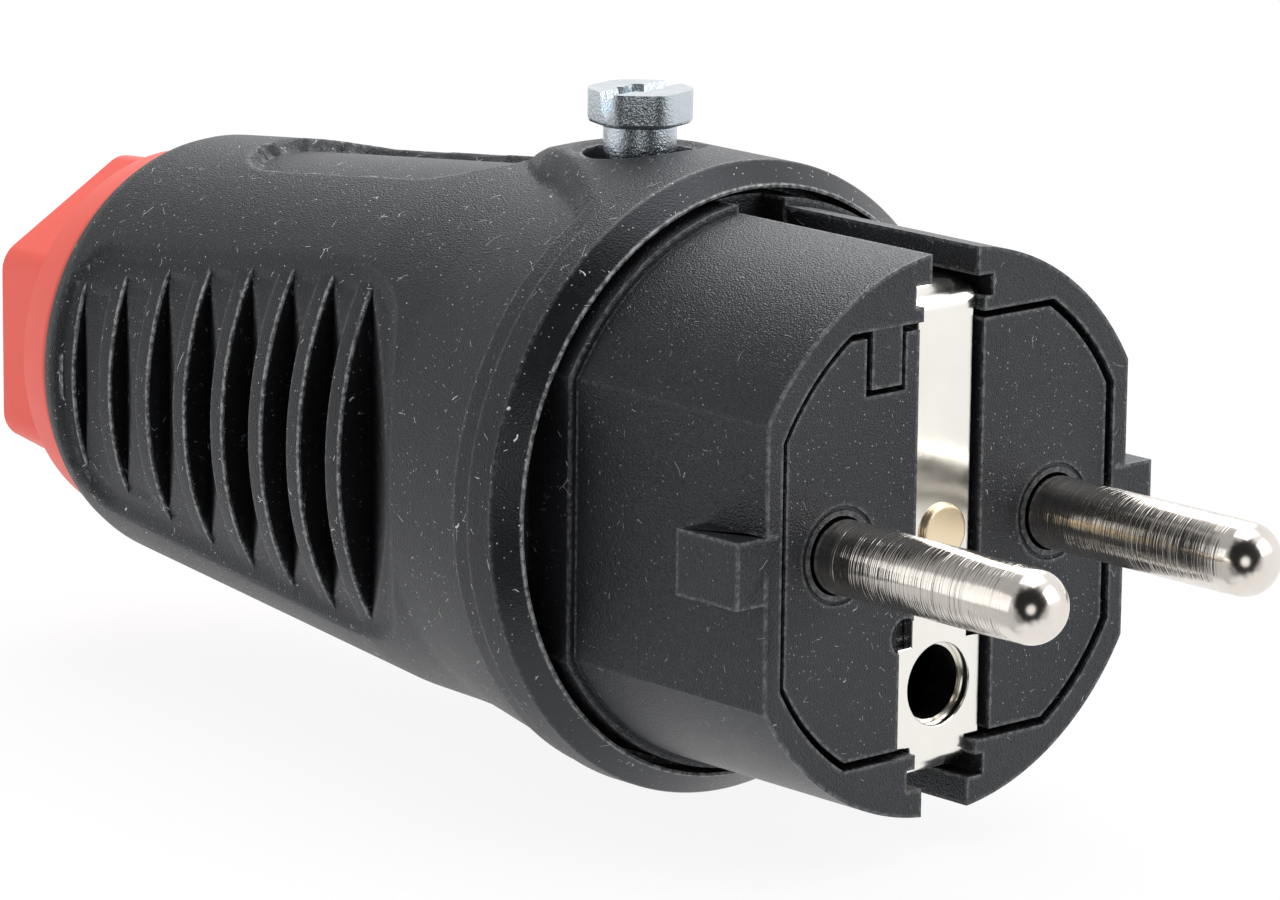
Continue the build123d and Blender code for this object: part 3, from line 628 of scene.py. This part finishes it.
for half, top in ((channel_half, 20.0), (channel_wide_half, channel_wide_top)):
    plate = joined(plate, brick((-channel_depth, -half, -20.0), (1, half, top)))
plate = joined(plate, bar_x(nick_radius, -channel_depth, 1, nick_y, nick_z, 32))
plate = joined(plate, brick(hook_room_low, hook_room_high))
plate = joined(plate, bar_x(earth_hole_radius, plate_rear - 1, 1, 0, earth_hole))
plate = softened(plate, plate_edge)
for side in (-1, 1):
    plate = joined(plate, bar_x(pin_hole_radius, plate_rear - 1, 1, side * pin_offset, 0))
    ring = bar_x(ring_outer, -ring_depth, 1, side * pin_offset, 0)
    ring = joined(ring, bar_x(ring_inner, -2, 3, side * pin_offset, 0))
    plate = joined(plate, ring)
bmesh.ops.recalc_face_normals(plate, faces=plate.faces)

contact_plate = placed("contact_plate", plate)
contact_plate.data.materials.append(plastic)
even(contact_plate)
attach(contact_plate, "plug")


def copied(node):
    """Merged copy of a CAD node's mesh, drawn in millimetres."""
    made = bmesh.new()
    made.from_mesh(nodes[node].data)
    bmesh.ops.scale(made, vec=(1000, 1000, 1000), verts=made.verts)
    bmesh.ops.remove_doubles(made, verts=made.verts, dist=0.0005)
    return made


def trimmed(made, at, facing):
    """Cuts off what lies past a plane and closes the cut."""
    bmesh.ops.bisect_plane(
        made, geom=made.verts[:] + made.edges[:] + made.faces[:], plane_co=at, plane_no=facing,
        clear_outer=True,
    )
    bmesh.ops.holes_fill(made, edges=[edge for edge in made.edges if edge.is_boundary])
    return made


def rear_of(node, front):
    """Copy of a CAD node's mesh behind a station."""
    made = trimmed(copied(node), (front, 0, 0), (1, 0, 0))
    bmesh.ops.triangulate(made, faces=[face for face in made.faces if len(face.verts) > 4])
    return made


carrier_rear = placed("carrier_rear", rear_of("contact_carrier", plate_rear), 25.0)
carrier_rear.data.materials.append(plastic)
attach(carrier_rear, "plug")
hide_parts("contact_carrier")


# Contact pins
# Round brass pins, turned on a lathe and nickel-plated, with domed tips. The tool leaves fine
# rings all along the shank. The terminal block behind is the frame's own.

pin_radius, pin_neck_radius = 2.4, 2.2
pin_length = 18.995
dome_length, dome_fullness = 2.3, 0.92
pin_outline = [(plate_rear, 0.0), (plate_rear, pin_neck_radius), (-0.8, pin_neck_radius), (-0.8, pin_radius)]
pin_outline += [(0.5 + 1.5 * step, pin_radius) for step in range(11)]
for turn in range(8, 90, 6):
    station = pin_length - dome_length + dome_length * math.sin(math.radians(turn))
    pin_outline.append((station, pin_radius * math.cos(math.radians(turn)) ** dome_fullness))
pin_outline += [(pin_length, 0.0)]

# Bright nickel over turned brass: mirror-like, warm white. The turning rings break the reflections
# of the shank into thin bands. The real ones are about 0.1 mm apart, and these are drawn about twice
# as coarse, with cells of 0.13 mm, so that they show. The dome is polished
nickel_turned, tree, shader = material("turned_nickel_plate")
shader.inputs["Metallic"].default_value = 1.0
place = add(tree, "ShaderNodeTexCoord").outputs["Object"]
split = add(tree, "ShaderNodeSeparateXYZ", {"Vector": place})
wobble = add(tree, "ShaderNodeTexNoise", {"Vector": place, "Scale": cells(2.0), "Detail": 2.0})
rings = add(tree, "ShaderNodeTexNoise", {"W": split.outputs["X"]}, noise_dimensions="1D")
rings.inputs["Scale"].default_value = cells(2 / 15)
rings.inputs["Detail"].default_value = 1.5
shank = add(
    tree, "ShaderNodeMapRange",
    {"Value": split.outputs["X"], "From Min": 16.8 * mm, "From Max": 15.8 * mm},
)
patches = add(
    tree, "ShaderNodeMapRange",
    {"Value": wobble.outputs["Fac"], "From Min": 0.3, "From Max": 0.7, "To Min": 0.4},
)
strength = add(
    tree, "ShaderNodeMath", {0: shank.outputs["Result"], 1: patches.outputs["Result"]},
    operation="MULTIPLY",
)
tone = add(tree, "ShaderNodeValToRGB", {"Fac": wobble.outputs["Fac"]})
tone.color_ramp.elements[0].color = colour("#D8D0C7")
tone.color_ramp.elements[1].color = colour("#EEE9E2")
tree.links.new(tone.outputs["Color"], shader.inputs["Base Color"])
shine = add(
    tree, "ShaderNodeMapRange", {"Value": strength.outputs["Value"], "To Min": 0.17, "To Max": 0.13},
)
tree.links.new(shine.outputs["Result"], shader.inputs["Roughness"])
depth = add(
    tree, "ShaderNodeMath", {0: rings.outputs["Fac"], 1: strength.outputs["Value"]},
    operation="MULTIPLY",
)
ripple = add(tree, "ShaderNodeTexNoise", {"Vector": place, "Scale": cells(2.38), "Detail": 1.0})
rippled = add(
    tree, "ShaderNodeBump", {"Height": ripple.outputs["Fac"], "Strength": 0.3, "Distance": 0.2 * mm},
)
bump = add(
    tree, "ShaderNodeBump", {"Height": depth.outputs["Value"], "Strength": 1.0, "Distance": 0.04 * mm},
)
tree.links.new(rippled.outputs["Normal"], bump.inputs["Normal"])
tree.links.new(bump.outputs["Normal"], shader.inputs["Normal"])



def merged(made, other):
    """Adds the mesh of another shape to a shape."""
    mesh = bpy.data.meshes.new("working")
    other.to_mesh(mesh)
    other.free()
    made.from_mesh(mesh)
    return made


for name, side in (("line_pin", -1), ("neutral_pin", 1)):
    turned_pin = spun(pin_outline, 96)
    bmesh.ops.translate(turned_pin, vec=(0, side * pin_offset, 0), verts=turned_pin.verts)
    turned_pin = merged(turned_pin, rear_of(name, plate_rear))
    pin = placed(name + "_turned", turned_pin, 35.0)
    pin.data.materials.append(nickel_turned)
    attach(pin, "plug")
    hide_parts(name)


# Earth strip
# Nickel-plated strip, stamped and folded from 0.8 mm sheet: a face with an eye for the socket's
# earth pin, and a spring leg bent back into each earth slot. Held by the rivet in its middle.

strip_edge = 0.12
strip = softened(copied("earth_strip"), strip_edge, 35.0)

# Nickel on rolled sheet: bright and almost white, with a slight haze and waves of some millimetres, so
# that its reflections wander a little
nickel, tree, shader = material("nickel_plated_sheet")
shader.inputs["Metallic"].default_value = 1.0
place = add(tree, "ShaderNodeTexCoord").outputs["Object"]
haze = add(tree, "ShaderNodeTexNoise", {"Vector": place, "Scale": cells(3.85), "Detail": 4.0})
tone = add(tree, "ShaderNodeValToRGB", {"Fac": haze.outputs["Fac"]})
tone.color_ramp.elements[0].color = colour("#EBE8E0")
tone.color_ramp.elements[1].color = colour("#F8F6F0")
tree.links.new(tone.outputs["Color"], shader.inputs["Base Color"])
shine = add(tree, "ShaderNodeMapRange", {"Value": haze.outputs["Fac"], "To Min": 0.12, "To Max": 0.24})
tree.links.new(shine.outputs["Result"], shader.inputs["Roughness"])
waves = add(tree, "ShaderNodeTexNoise", {"Vector": place, "Scale": cells(5.56), "Detail": 2.0})
bump = add(
    tree, "ShaderNodeBump", {"Height": waves.outputs["Fac"], "Strength": 0.25, "Distance": 0.4 * mm},
)
tree.links.new(bump.outputs["Normal"], shader.inputs["Normal"])

earth_strip = placed("earth_strip_folded", strip)
earth_strip.data.materials.append(nickel)
even(earth_strip)
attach(earth_strip, "plug")
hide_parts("earth_strip")

sleeve_node = nodes["earth_sleeve"]
sleeve_node.data.materials.clear()
sleeve_node.data.materials.append(nickel)


# Rivet
# Solid brass rivet that fixes the strip to the plate, its head pressed round and slightly domed.

rivet_rear, rivet_radius = -6.8, 1.2
rivet_outline = [
    (rivet_rear, 0.0), (rivet_rear, rivet_radius), (-0.56, rivet_radius), (-0.55, 1.82), (-0.45, 1.87),
    (-0.3, 1.86), (-0.23, 1.8), (-0.19, 1.7), (-0.17, 1.5), (-0.16, 0.0),
]
rivet_shape = spun(rivet_outline, 64)

# Pressed brass: warm and pale, satin, so that it reads against the brighter strip
brass, tree, shader = material("pressed_brass")
shader.inputs["Metallic"].default_value = 1.0
place = add(tree, "ShaderNodeTexCoord").outputs["Object"]
haze = add(tree, "ShaderNodeTexNoise", {"Vector": place, "Scale": cells(2.5), "Detail": 4.0})
tone = add(tree, "ShaderNodeValToRGB", {"Fac": haze.outputs["Fac"]})
tone.color_ramp.elements[0].color = colour("#F0DAB4")
tone.color_ramp.elements[1].color = colour("#FBEACD")
tree.links.new(tone.outputs["Color"], shader.inputs["Base Color"])
shine = add(tree, "ShaderNodeMapRange", {"Value": haze.outputs["Fac"], "To Min": 0.25, "To Max": 0.42})
tree.links.new(shine.outputs["Result"], shader.inputs["Roughness"])

# The press leaves fine slanting scratches on the head, about 0.1 mm apart
slant = {"Vector": place, "Rotation": (math.radians(35), 0.0, 0.0), "Scale": (1.0, 1.0, 0.08)}
slanted = add(tree, "ShaderNodeMapping", slant).outputs["Vector"]
scratches = add(tree, "ShaderNodeTexNoise", {"Vector": slanted, "Scale": cells(1 / 9), "Detail": 2.0})
bump = add(
    tree, "ShaderNodeBump", {"Height": scratches.outputs["Fac"], "Strength": 0.5, "Distance": 0.03 * mm},
)
tree.links.new(bump.outputs["Normal"], shader.inputs["Normal"])

rivet = placed("rivet", rivet_shape)
rivet.data.materials.append(brass)
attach(rivet, "plug")
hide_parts("earth_rivet")


# Locking screw
# Zinc-plated steel screw with a six-sided head, a slot and a star recess, shown backed out of the
# boss. Cold-headed, so the head's corners are soft, then rolled and plated.

head_low, head_high = 22.35, 24.65
head_corner, head_turn, head_rounding = 3.76, 15.0, 0.95
head_chamfer, head_edge, shank_edge = 0.38, 0.09, 0.12
groove_half, groove_depth, groove_taper, groove_turn = 1.05, 1.3, 0.34, 6.0
recess_radius, recess_depth = 1.15, 1.7
wing_half, wing_reach, wing_depth, wing_taper, wing_turns = 0.42, 1.75, 1.6, 0.7, (51, 141)

screw_shape = trimmed(copied("lock_screw"), (0, 0, head_low - 0.02), (0, 0, 1))
screw_shape = softened(screw_shape, shank_edge, 35.0)

# The shank goes on a little way into the head
upper = [corner for corner in screw_shape.verts if corner.co.z > head_low - 0.03]
bmesh.ops.translate(screw_shape, vec=(0, 0, 0.1), verts=upper)

head = bmesh.new()
place = Matrix.Translation((lock_axis, 0, (head_low + head_high) / 2))
place = place @ Matrix.Rotation(math.radians(head_turn), 4, "Z")
bmesh.ops.create_cone(
    head, cap_ends=True, segments=6, radius1=head_corner, radius2=head_corner, depth=head_high - head_low,
    matrix=place,
)
standing = [edge for edge in head.edges if abs(edge.verts[0].co.z - edge.verts[1].co.z) > 1]
bmesh.ops.bevel(
    head, geom=standing, offset=head_rounding, offset_type="OFFSET", affect="EDGES", segments=6, profile=0.5,
    material=-1,
)
under = [edge for edge in head.edges if max(corner.co.z for corner in edge.verts) < head_low + 0.01]
bmesh.ops.bevel(
    head, geom=under, offset=head_chamfer, offset_type="OFFSET", affect="EDGES", segments=2, profile=0.5,
    material=-1,
)

# The slot narrows to its floor, and the recess is a round hole with a tapered cross through it
groove = brick((-groove_half, -6, -groove_depth), (groove_half, 6, groove_depth))
for corner in groove.verts:
    if corner.co.z < 0:
        corner.co.x *= groove_taper
recess = upright_bar(recess_radius, -recess_depth, 1.0, 0.0, 24)
for turn in wing_turns:
    wing = brick((-wing_half, -wing_reach, -wing_depth), (wing_half, wing_reach, 1.0))
    for corner in wing.verts:
        if corner.co.z < 0:
            corner.co.y *= wing_taper
    turned = Matrix.Rotation(math.radians(turn), 3, "Z")
    bmesh.ops.rotate(wing, cent=(0, 0, 0), matrix=turned, verts=wing.verts)
    recess = joined(recess, wing, "UNION")
place = Matrix.Translation((lock_axis, 0, head_high)) @ Matrix.Rotation(math.radians(groove_turn), 4, "Z")
for tool in (groove, recess):
    bmesh.ops.transform(tool, matrix=place, verts=tool.verts)
    head = joined(head, tool)
screw_shape = merged(screw_shape, softened(head, head_edge, 35.0))

# Blue-white zinc over steel: bright, with a speckle of about 0.2 mm left by the plating, which breaks
# the light on the sides of the head and hardly shows on its top
zinc, tree, shader = material("blue_zinc_plate")
shader.inputs["Metallic"].default_value = 1.0
place = add(tree, "ShaderNodeTexCoord").outputs["Object"]
haze = add(tree, "ShaderNodeTexNoise", {"Vector": place, "Scale": cells(10 / 7), "Detail": 4.0})
tone = add(tree, "ShaderNodeValToRGB", {"Fac": haze.outputs["Fac"]})
tone.color_ramp.elements[0].color = colour("#B4BEC6")
tone.color_ramp.elements[1].color = colour("#D6DFE4")
tree.links.new(tone.outputs["Color"], shader.inputs["Base Color"])
shine = add(tree, "ShaderNodeMapRange", {"Value": haze.outputs["Fac"], "To Min": 0.12, "To Max": 0.22})
tree.links.new(shine.outputs["Result"], shader.inputs["Roughness"])
speckle = add(
    tree, "ShaderNodeTexNoise",
    {"Vector": place, "Scale": cells(2 / 11), "Detail": 2.0, "Roughness": 0.7},
)
normal = add(tree, "ShaderNodeNewGeometry").outputs["True Normal"]
facing = add(tree, "ShaderNodeSeparateXYZ", {"Vector": normal})
sides = add(
    tree, "ShaderNodeMapRange",
    {"Value": facing.outputs["Z"], "From Min": 0.9, "From Max": 0.5, "To Min": 0.15},
)
rough = add(
    tree, "ShaderNodeMath", {0: speckle.outputs["Fac"], 1: sides.outputs["Result"]},
    operation="MULTIPLY",
)
bump = add(
    tree, "ShaderNodeBump", {"Height": rough.outputs["Value"], "Strength": 0.8, "Distance": 0.06 * mm},
)
tree.links.new(bump.outputs["Normal"], shader.inputs["Normal"])

screw = placed("locking_screw", screw_shape)
screw.data.materials.append(zinc)
even(screw)
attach(screw, "screw")
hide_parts("lock_screw")

# The frame's own inner pieces, which stay as they are
hidden_pieces = [
    (zinc, ("lock_nut", "line_terminal_screw", "neutral_terminal_screw", "earth_terminal_screw",
            "clamp_screw_left", "clamp_screw_right", "clamp_nut_left", "clamp_nut_right")),
    (brass, ("earth_bar", "earth_terminal")),
    (plastic, ("cable_clamp", "captive_washer", "gland_slip_ring")),
    (rubber, ("cable_seal",)),
]
for finish, names in hidden_pieces:
    for name in names:
        nodes[name].data.materials.clear()
        nodes[name].data.materials.append(finish)


# Gland nut
# Red plastic nut that presses the seal on the cable, injection-moulded with a round flange and a
# tapered hexagon whose corners are rounded.

nut_end, hexagon_root = -84.98, -79.0
hexagon_end_corner, hexagon_root_corner, hexagon_turn, hexagon_rounding = 12.6, 13.0, 30.0, 1.1
nut_edge, sliver = 0.3, 0.02

hexagon = bmesh.new()
place = Matrix.Translation(((nut_end + hexagon_root) / 2, 0, 0)) @ Matrix.Rotation(math.radians(90), 4, "Y")
place = place @ Matrix.Rotation(math.radians(hexagon_turn), 4, "Z")
bmesh.ops.create_cone(
    hexagon, cap_ends=True, segments=6, radius1=hexagon_end_corner, radius2=hexagon_root_corner,
    depth=hexagon_root - nut_end, matrix=place,
)
bmesh.ops.recalc_face_normals(hexagon, faces=hexagon.faces)
slanting = [edge for edge in hexagon.edges if abs(edge.verts[0].co.x - edge.verts[1].co.x) > 3]
bmesh.ops.bevel(
    hexagon, geom=slanting, offset=hexagon_rounding, offset_type="OFFSET", affect="EDGES", segments=5,
    profile=0.5, material=-1, clamp_overlap=True,
)
flange_outline = [
    (-79.25, 0.0), (-79.25, 12.9), (-79.2, 13.3), (-79.0, 13.5), (-75.9, 14.28), (-75.6, 14.25),
    (-75.4, 14.0), (-75.38, 11.2), (-64.0, 11.2), (-64.0, 0.0),
]
nut_shape = joined(hexagon, spun(flange_outline, 160), "UNION")
entry_outline = [
    (-63.0, 0.0), (-63.0, 7.8), (-73.0, 7.8), (-73.0, 5.6), (-83.4, 5.6), (-84.2, 5.9), (-84.8, 6.6),
    (-86.0, 8.2), (-86.0, 0.0),
]
nut_shape = joined(nut_shape, spun(entry_outline, 96))
nut_shape = softened(nut_shape, nut_edge, 38.0, sliver)

# Coral red plastic, moulded: clean and satin, with a slight clouding of the colour and a very faint
# grain of 0.4 mm, so that its wide faces aren't dead flat
red_plastic, tree, shader = material("moulded_red_plastic")
place = add(tree, "ShaderNodeTexCoord").outputs["Object"]
haze = add(tree, "ShaderNodeTexNoise", {"Vector": place, "Scale": cells(25 / 3), "Detail": 3.0})
tone = add(tree, "ShaderNodeValToRGB", {"Fac": haze.outputs["Fac"]})
tone.color_ramp.elements[0].color = colour("#E6584B")
tone.color_ramp.elements[1].color = colour("#EC6052")
tree.links.new(tone.outputs["Color"], shader.inputs["Base Color"])
shader.inputs["Roughness"].default_value = 0.5
grain = add(tree, "ShaderNodeTexNoise", {"Vector": place, "Scale": cells(0.4), "Detail": 2.0})
bump = add(
    tree, "ShaderNodeBump", {"Height": grain.outputs["Fac"], "Strength": 0.1, "Distance": 0.04 * mm},
)
tree.links.new(bump.outputs["Normal"], shader.inputs["Normal"])

gland_nut = placed("gland_nut_moulded", nut_shape, 50.0)
gland_nut.data.materials.append(red_plastic)
even(gland_nut)
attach(gland_nut, "nut")
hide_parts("gland_nut")


# Studio
# A pale sweep of paper under the plug, soft lamps around it, and the camera of the photograph.

floor_height, floor_half = -0.0212, 3.0
floor_shape = bmesh.new()
place = Matrix.Translation((0, 0, floor_height))
bmesh.ops.create_grid(floor_shape, x_segments=1, y_segments=1, size=floor_half, matrix=place)
mesh = bpy.data.meshes.new("floor")
floor_shape.to_mesh(mesh)
floor_shape.free()
floor = bpy.data.objects.new("floor", mesh)
scene.collection.objects.link(floor)
floor.visible_glossy = False

# White paper: matt and a little below white. Where the camera or a reflection sees it, most of it
# glows plain white, so that only the plug's shadow is left on a white ground
glow_share = 0.9
paper, tree, shader = material("white_paper")
shader.inputs["Base Color"].default_value = colour("#F4F4F4")
shader.inputs["Roughness"].default_value = 0.9
ray = add(tree, "ShaderNodeLightPath")
seen = add(
    tree, "ShaderNodeMath", {0: ray.outputs["Is Camera Ray"], 1: ray.outputs["Is Glossy Ray"]},
    operation="MAXIMUM",
)
seen = add(
    tree, "ShaderNodeMath", {0: seen.outputs["Value"], 1: ray.outputs["Is Transmission Ray"]},
    operation="MAXIMUM",
)
glow = add(tree, "ShaderNodeEmission", {"Color": colour("#FFFFFF"), "Strength": 1.0})
share = add(tree, "ShaderNodeMath", {0: seen.outputs["Value"], 1: glow_share}, operation="MULTIPLY")
blend = add(
    tree, "ShaderNodeMixShader",
    {"Fac": share.outputs["Value"], 1: shader.outputs["BSDF"], 2: glow.outputs["Emission"]},
)
output = next(found for found in tree.nodes if found.bl_idname == "ShaderNodeOutputMaterial")
tree.links.new(blend.outputs["Shader"], output.inputs["Surface"])
floor.data.materials.append(paper)

# White all round for the camera and for what shines, but darker on three sides with uneven borders,
# because black plastic and metal are drawn by dark reflections: one behind the camera, one overhead
# and one low on the left. Each has its direction, the cosines where it begins and ends, and the light
# that is left in it. A small bright spot to the right of the camera gives the pins their glint
dark_sides = [
    ((0.7, -0.63, 0.33), 0.34, 0.74, 0.02),
    ((-0.62, -0.35, 0.7), 0.55, 0.95, 0.5),
    ((-0.35, -0.84, -0.42), 0.6, 0.95, 0.62),
]
glint_side, glint_begin, glint_end, glint_light = (0.76, -0.64, 0.06), 0.95, 0.985, 1.2
unevenness = 0.5
plain_light = 0.62
world = bpy.data.worlds.new("studio")
scene.world = world
world.use_nodes = True
world.cycles.sampling_method = "NONE"
tree = world.node_tree
tree.nodes.clear()
ray = add(tree, "ShaderNodeLightPath")
seen = add(
    tree, "ShaderNodeMath", {0: ray.outputs["Is Camera Ray"], 1: ray.outputs["Is Transmission Ray"]},
    operation="MAXIMUM",
)
way = add(tree, "ShaderNodeTexCoord").outputs["Generated"]
uneven = add(tree, "ShaderNodeTexNoise", {"Vector": way, "Scale": 2.6, "Detail": 1.0})
uneven = add(
    tree, "ShaderNodeMath", {0: uneven.outputs["Fac"], 1: unevenness, 2: -unevenness / 2},
    operation="MULTIPLY_ADD",
)
left_over = add(tree, "ShaderNodeValue").outputs["Value"]
left_over.default_value = 1.0
for side, begin, end, least in dark_sides:
    toward = add(tree, "ShaderNodeVectorMath", {0: way, 1: side}, operation="DOT_PRODUCT")
    ragged = add(
        tree, "ShaderNodeMath", {0: toward.outputs["Value"], 1: uneven.outputs["Value"]},
        operation="ADD",
    )
    gap = add(
        tree, "ShaderNodeMapRange",
        {"Value": ragged.outputs["Value"], "From Min": begin, "From Max": end, "To Min": 1, "To Max": least},
        interpolation_type="SMOOTHSTEP",
    )
    rest = add(tree, "ShaderNodeMath", {0: left_over, 1: gap.outputs["Result"]}, operation="MULTIPLY")
    left_over = rest.outputs["Value"]
toward = add(tree, "ShaderNodeVectorMath", {0: way, 1: glint_side}, operation="DOT_PRODUCT")
glint = add(
    tree, "ShaderNodeMapRange",
    {"Value": toward.outputs["Value"], "From Min": glint_begin, "From Max": glint_end, "To Max": glint_light},
)
mirror = add(tree, "ShaderNodeMath", {0: left_over, 1: glint.outputs["Result"]}, operation="ADD")
plain = add(tree, "ShaderNodeBackground", {"Color": colour("#FFFFFF"), "Strength": plain_light})
mirrored = add(
    tree, "ShaderNodeBackground", {"Color": colour("#FFFFFF"), "Strength": mirror.outputs["Value"]},
)
white = add(tree, "ShaderNodeBackground", {"Color": colour("#FFFFFF"), "Strength": 1.0})
blend = add(
    tree, "ShaderNodeMixShader",
    {"Fac": ray.outputs["Is Glossy Ray"], 1: plain.outputs["Background"], 2: mirrored.outputs["Background"]},
)
blend = add(
    tree, "ShaderNodeMixShader",
    {"Fac": seen.outputs["Value"], 1: blend.outputs["Shader"], 2: white.outputs["Background"]},
)
add(tree, "ShaderNodeOutputWorld", {"Surface": blend.outputs["Shader"]})


def soft_lamp(name, at, aim, size, power):
    """Square soft box that looks at a point."""
    data = bpy.data.lights.new(name, "AREA")
    data.shape = "SQUARE"
    data.size = size
    data.energy = power
    lamp = bpy.data.objects.new(name, data)
    lamp.location = at
    lamp.rotation_euler = (Vector(aim) - Vector(at)).to_track_quat("-Z", "Y").to_euler()
    scene.collection.objects.link(lamp)


soft_lamp("lamp_above", (-0.05, 0.1, 0.6), (-0.03, 0, 0), 0.5, 2.0)
soft_lamp("lamp_left", (-0.4, -0.45, 0.1), (-0.04, 0, 0), 0.4, 0.4)
soft_lamp("lamp_behind", (-0.38, 0.4, 0.5), (-0.04, 0, 0), 0.4, 1.7)
soft_lamp("lamp_right", (0.45, 0.3, 0.3), (-0.02, 0, 0), 0.4, 1.5)

# The camera of the photograph: its place, how it is turned, and its focal length in pixels of a
# picture 1280 wide
camera_place = (0.28842, -0.28898, 0.09813)
azimuth, elevation, roll = math.radians(47.69), math.radians(12.84), math.radians(0.64)
focal_pixels, picture_width, sensor_width = 6618.73, 1280, 36.0
right = Vector((math.cos(azimuth), math.sin(azimuth), 0))
level_back = Vector((math.sin(azimuth), -math.cos(azimuth), 0))
back = level_back * math.cos(elevation) + Vector((0, 0, math.sin(elevation)))
above = back.cross(right)
turned_right = math.cos(roll) * right + math.sin(roll) * above
turned_up = -math.sin(roll) * right + math.cos(roll) * above
camera_data = bpy.data.cameras.new("camera")
camera_data.sensor_width = sensor_width
camera_data.lens = focal_pixels / picture_width * sensor_width
camera_data.clip_end = 20
camera = bpy.data.objects.new("camera", camera_data)
turned = Matrix((turned_right, turned_up, back)).transposed().to_4x4()
camera.matrix_world = Matrix.Translation(camera_place) @ turned
scene.collection.objects.link(camera)
scene.camera = camera

scene.view_settings.view_transform = "Standard"
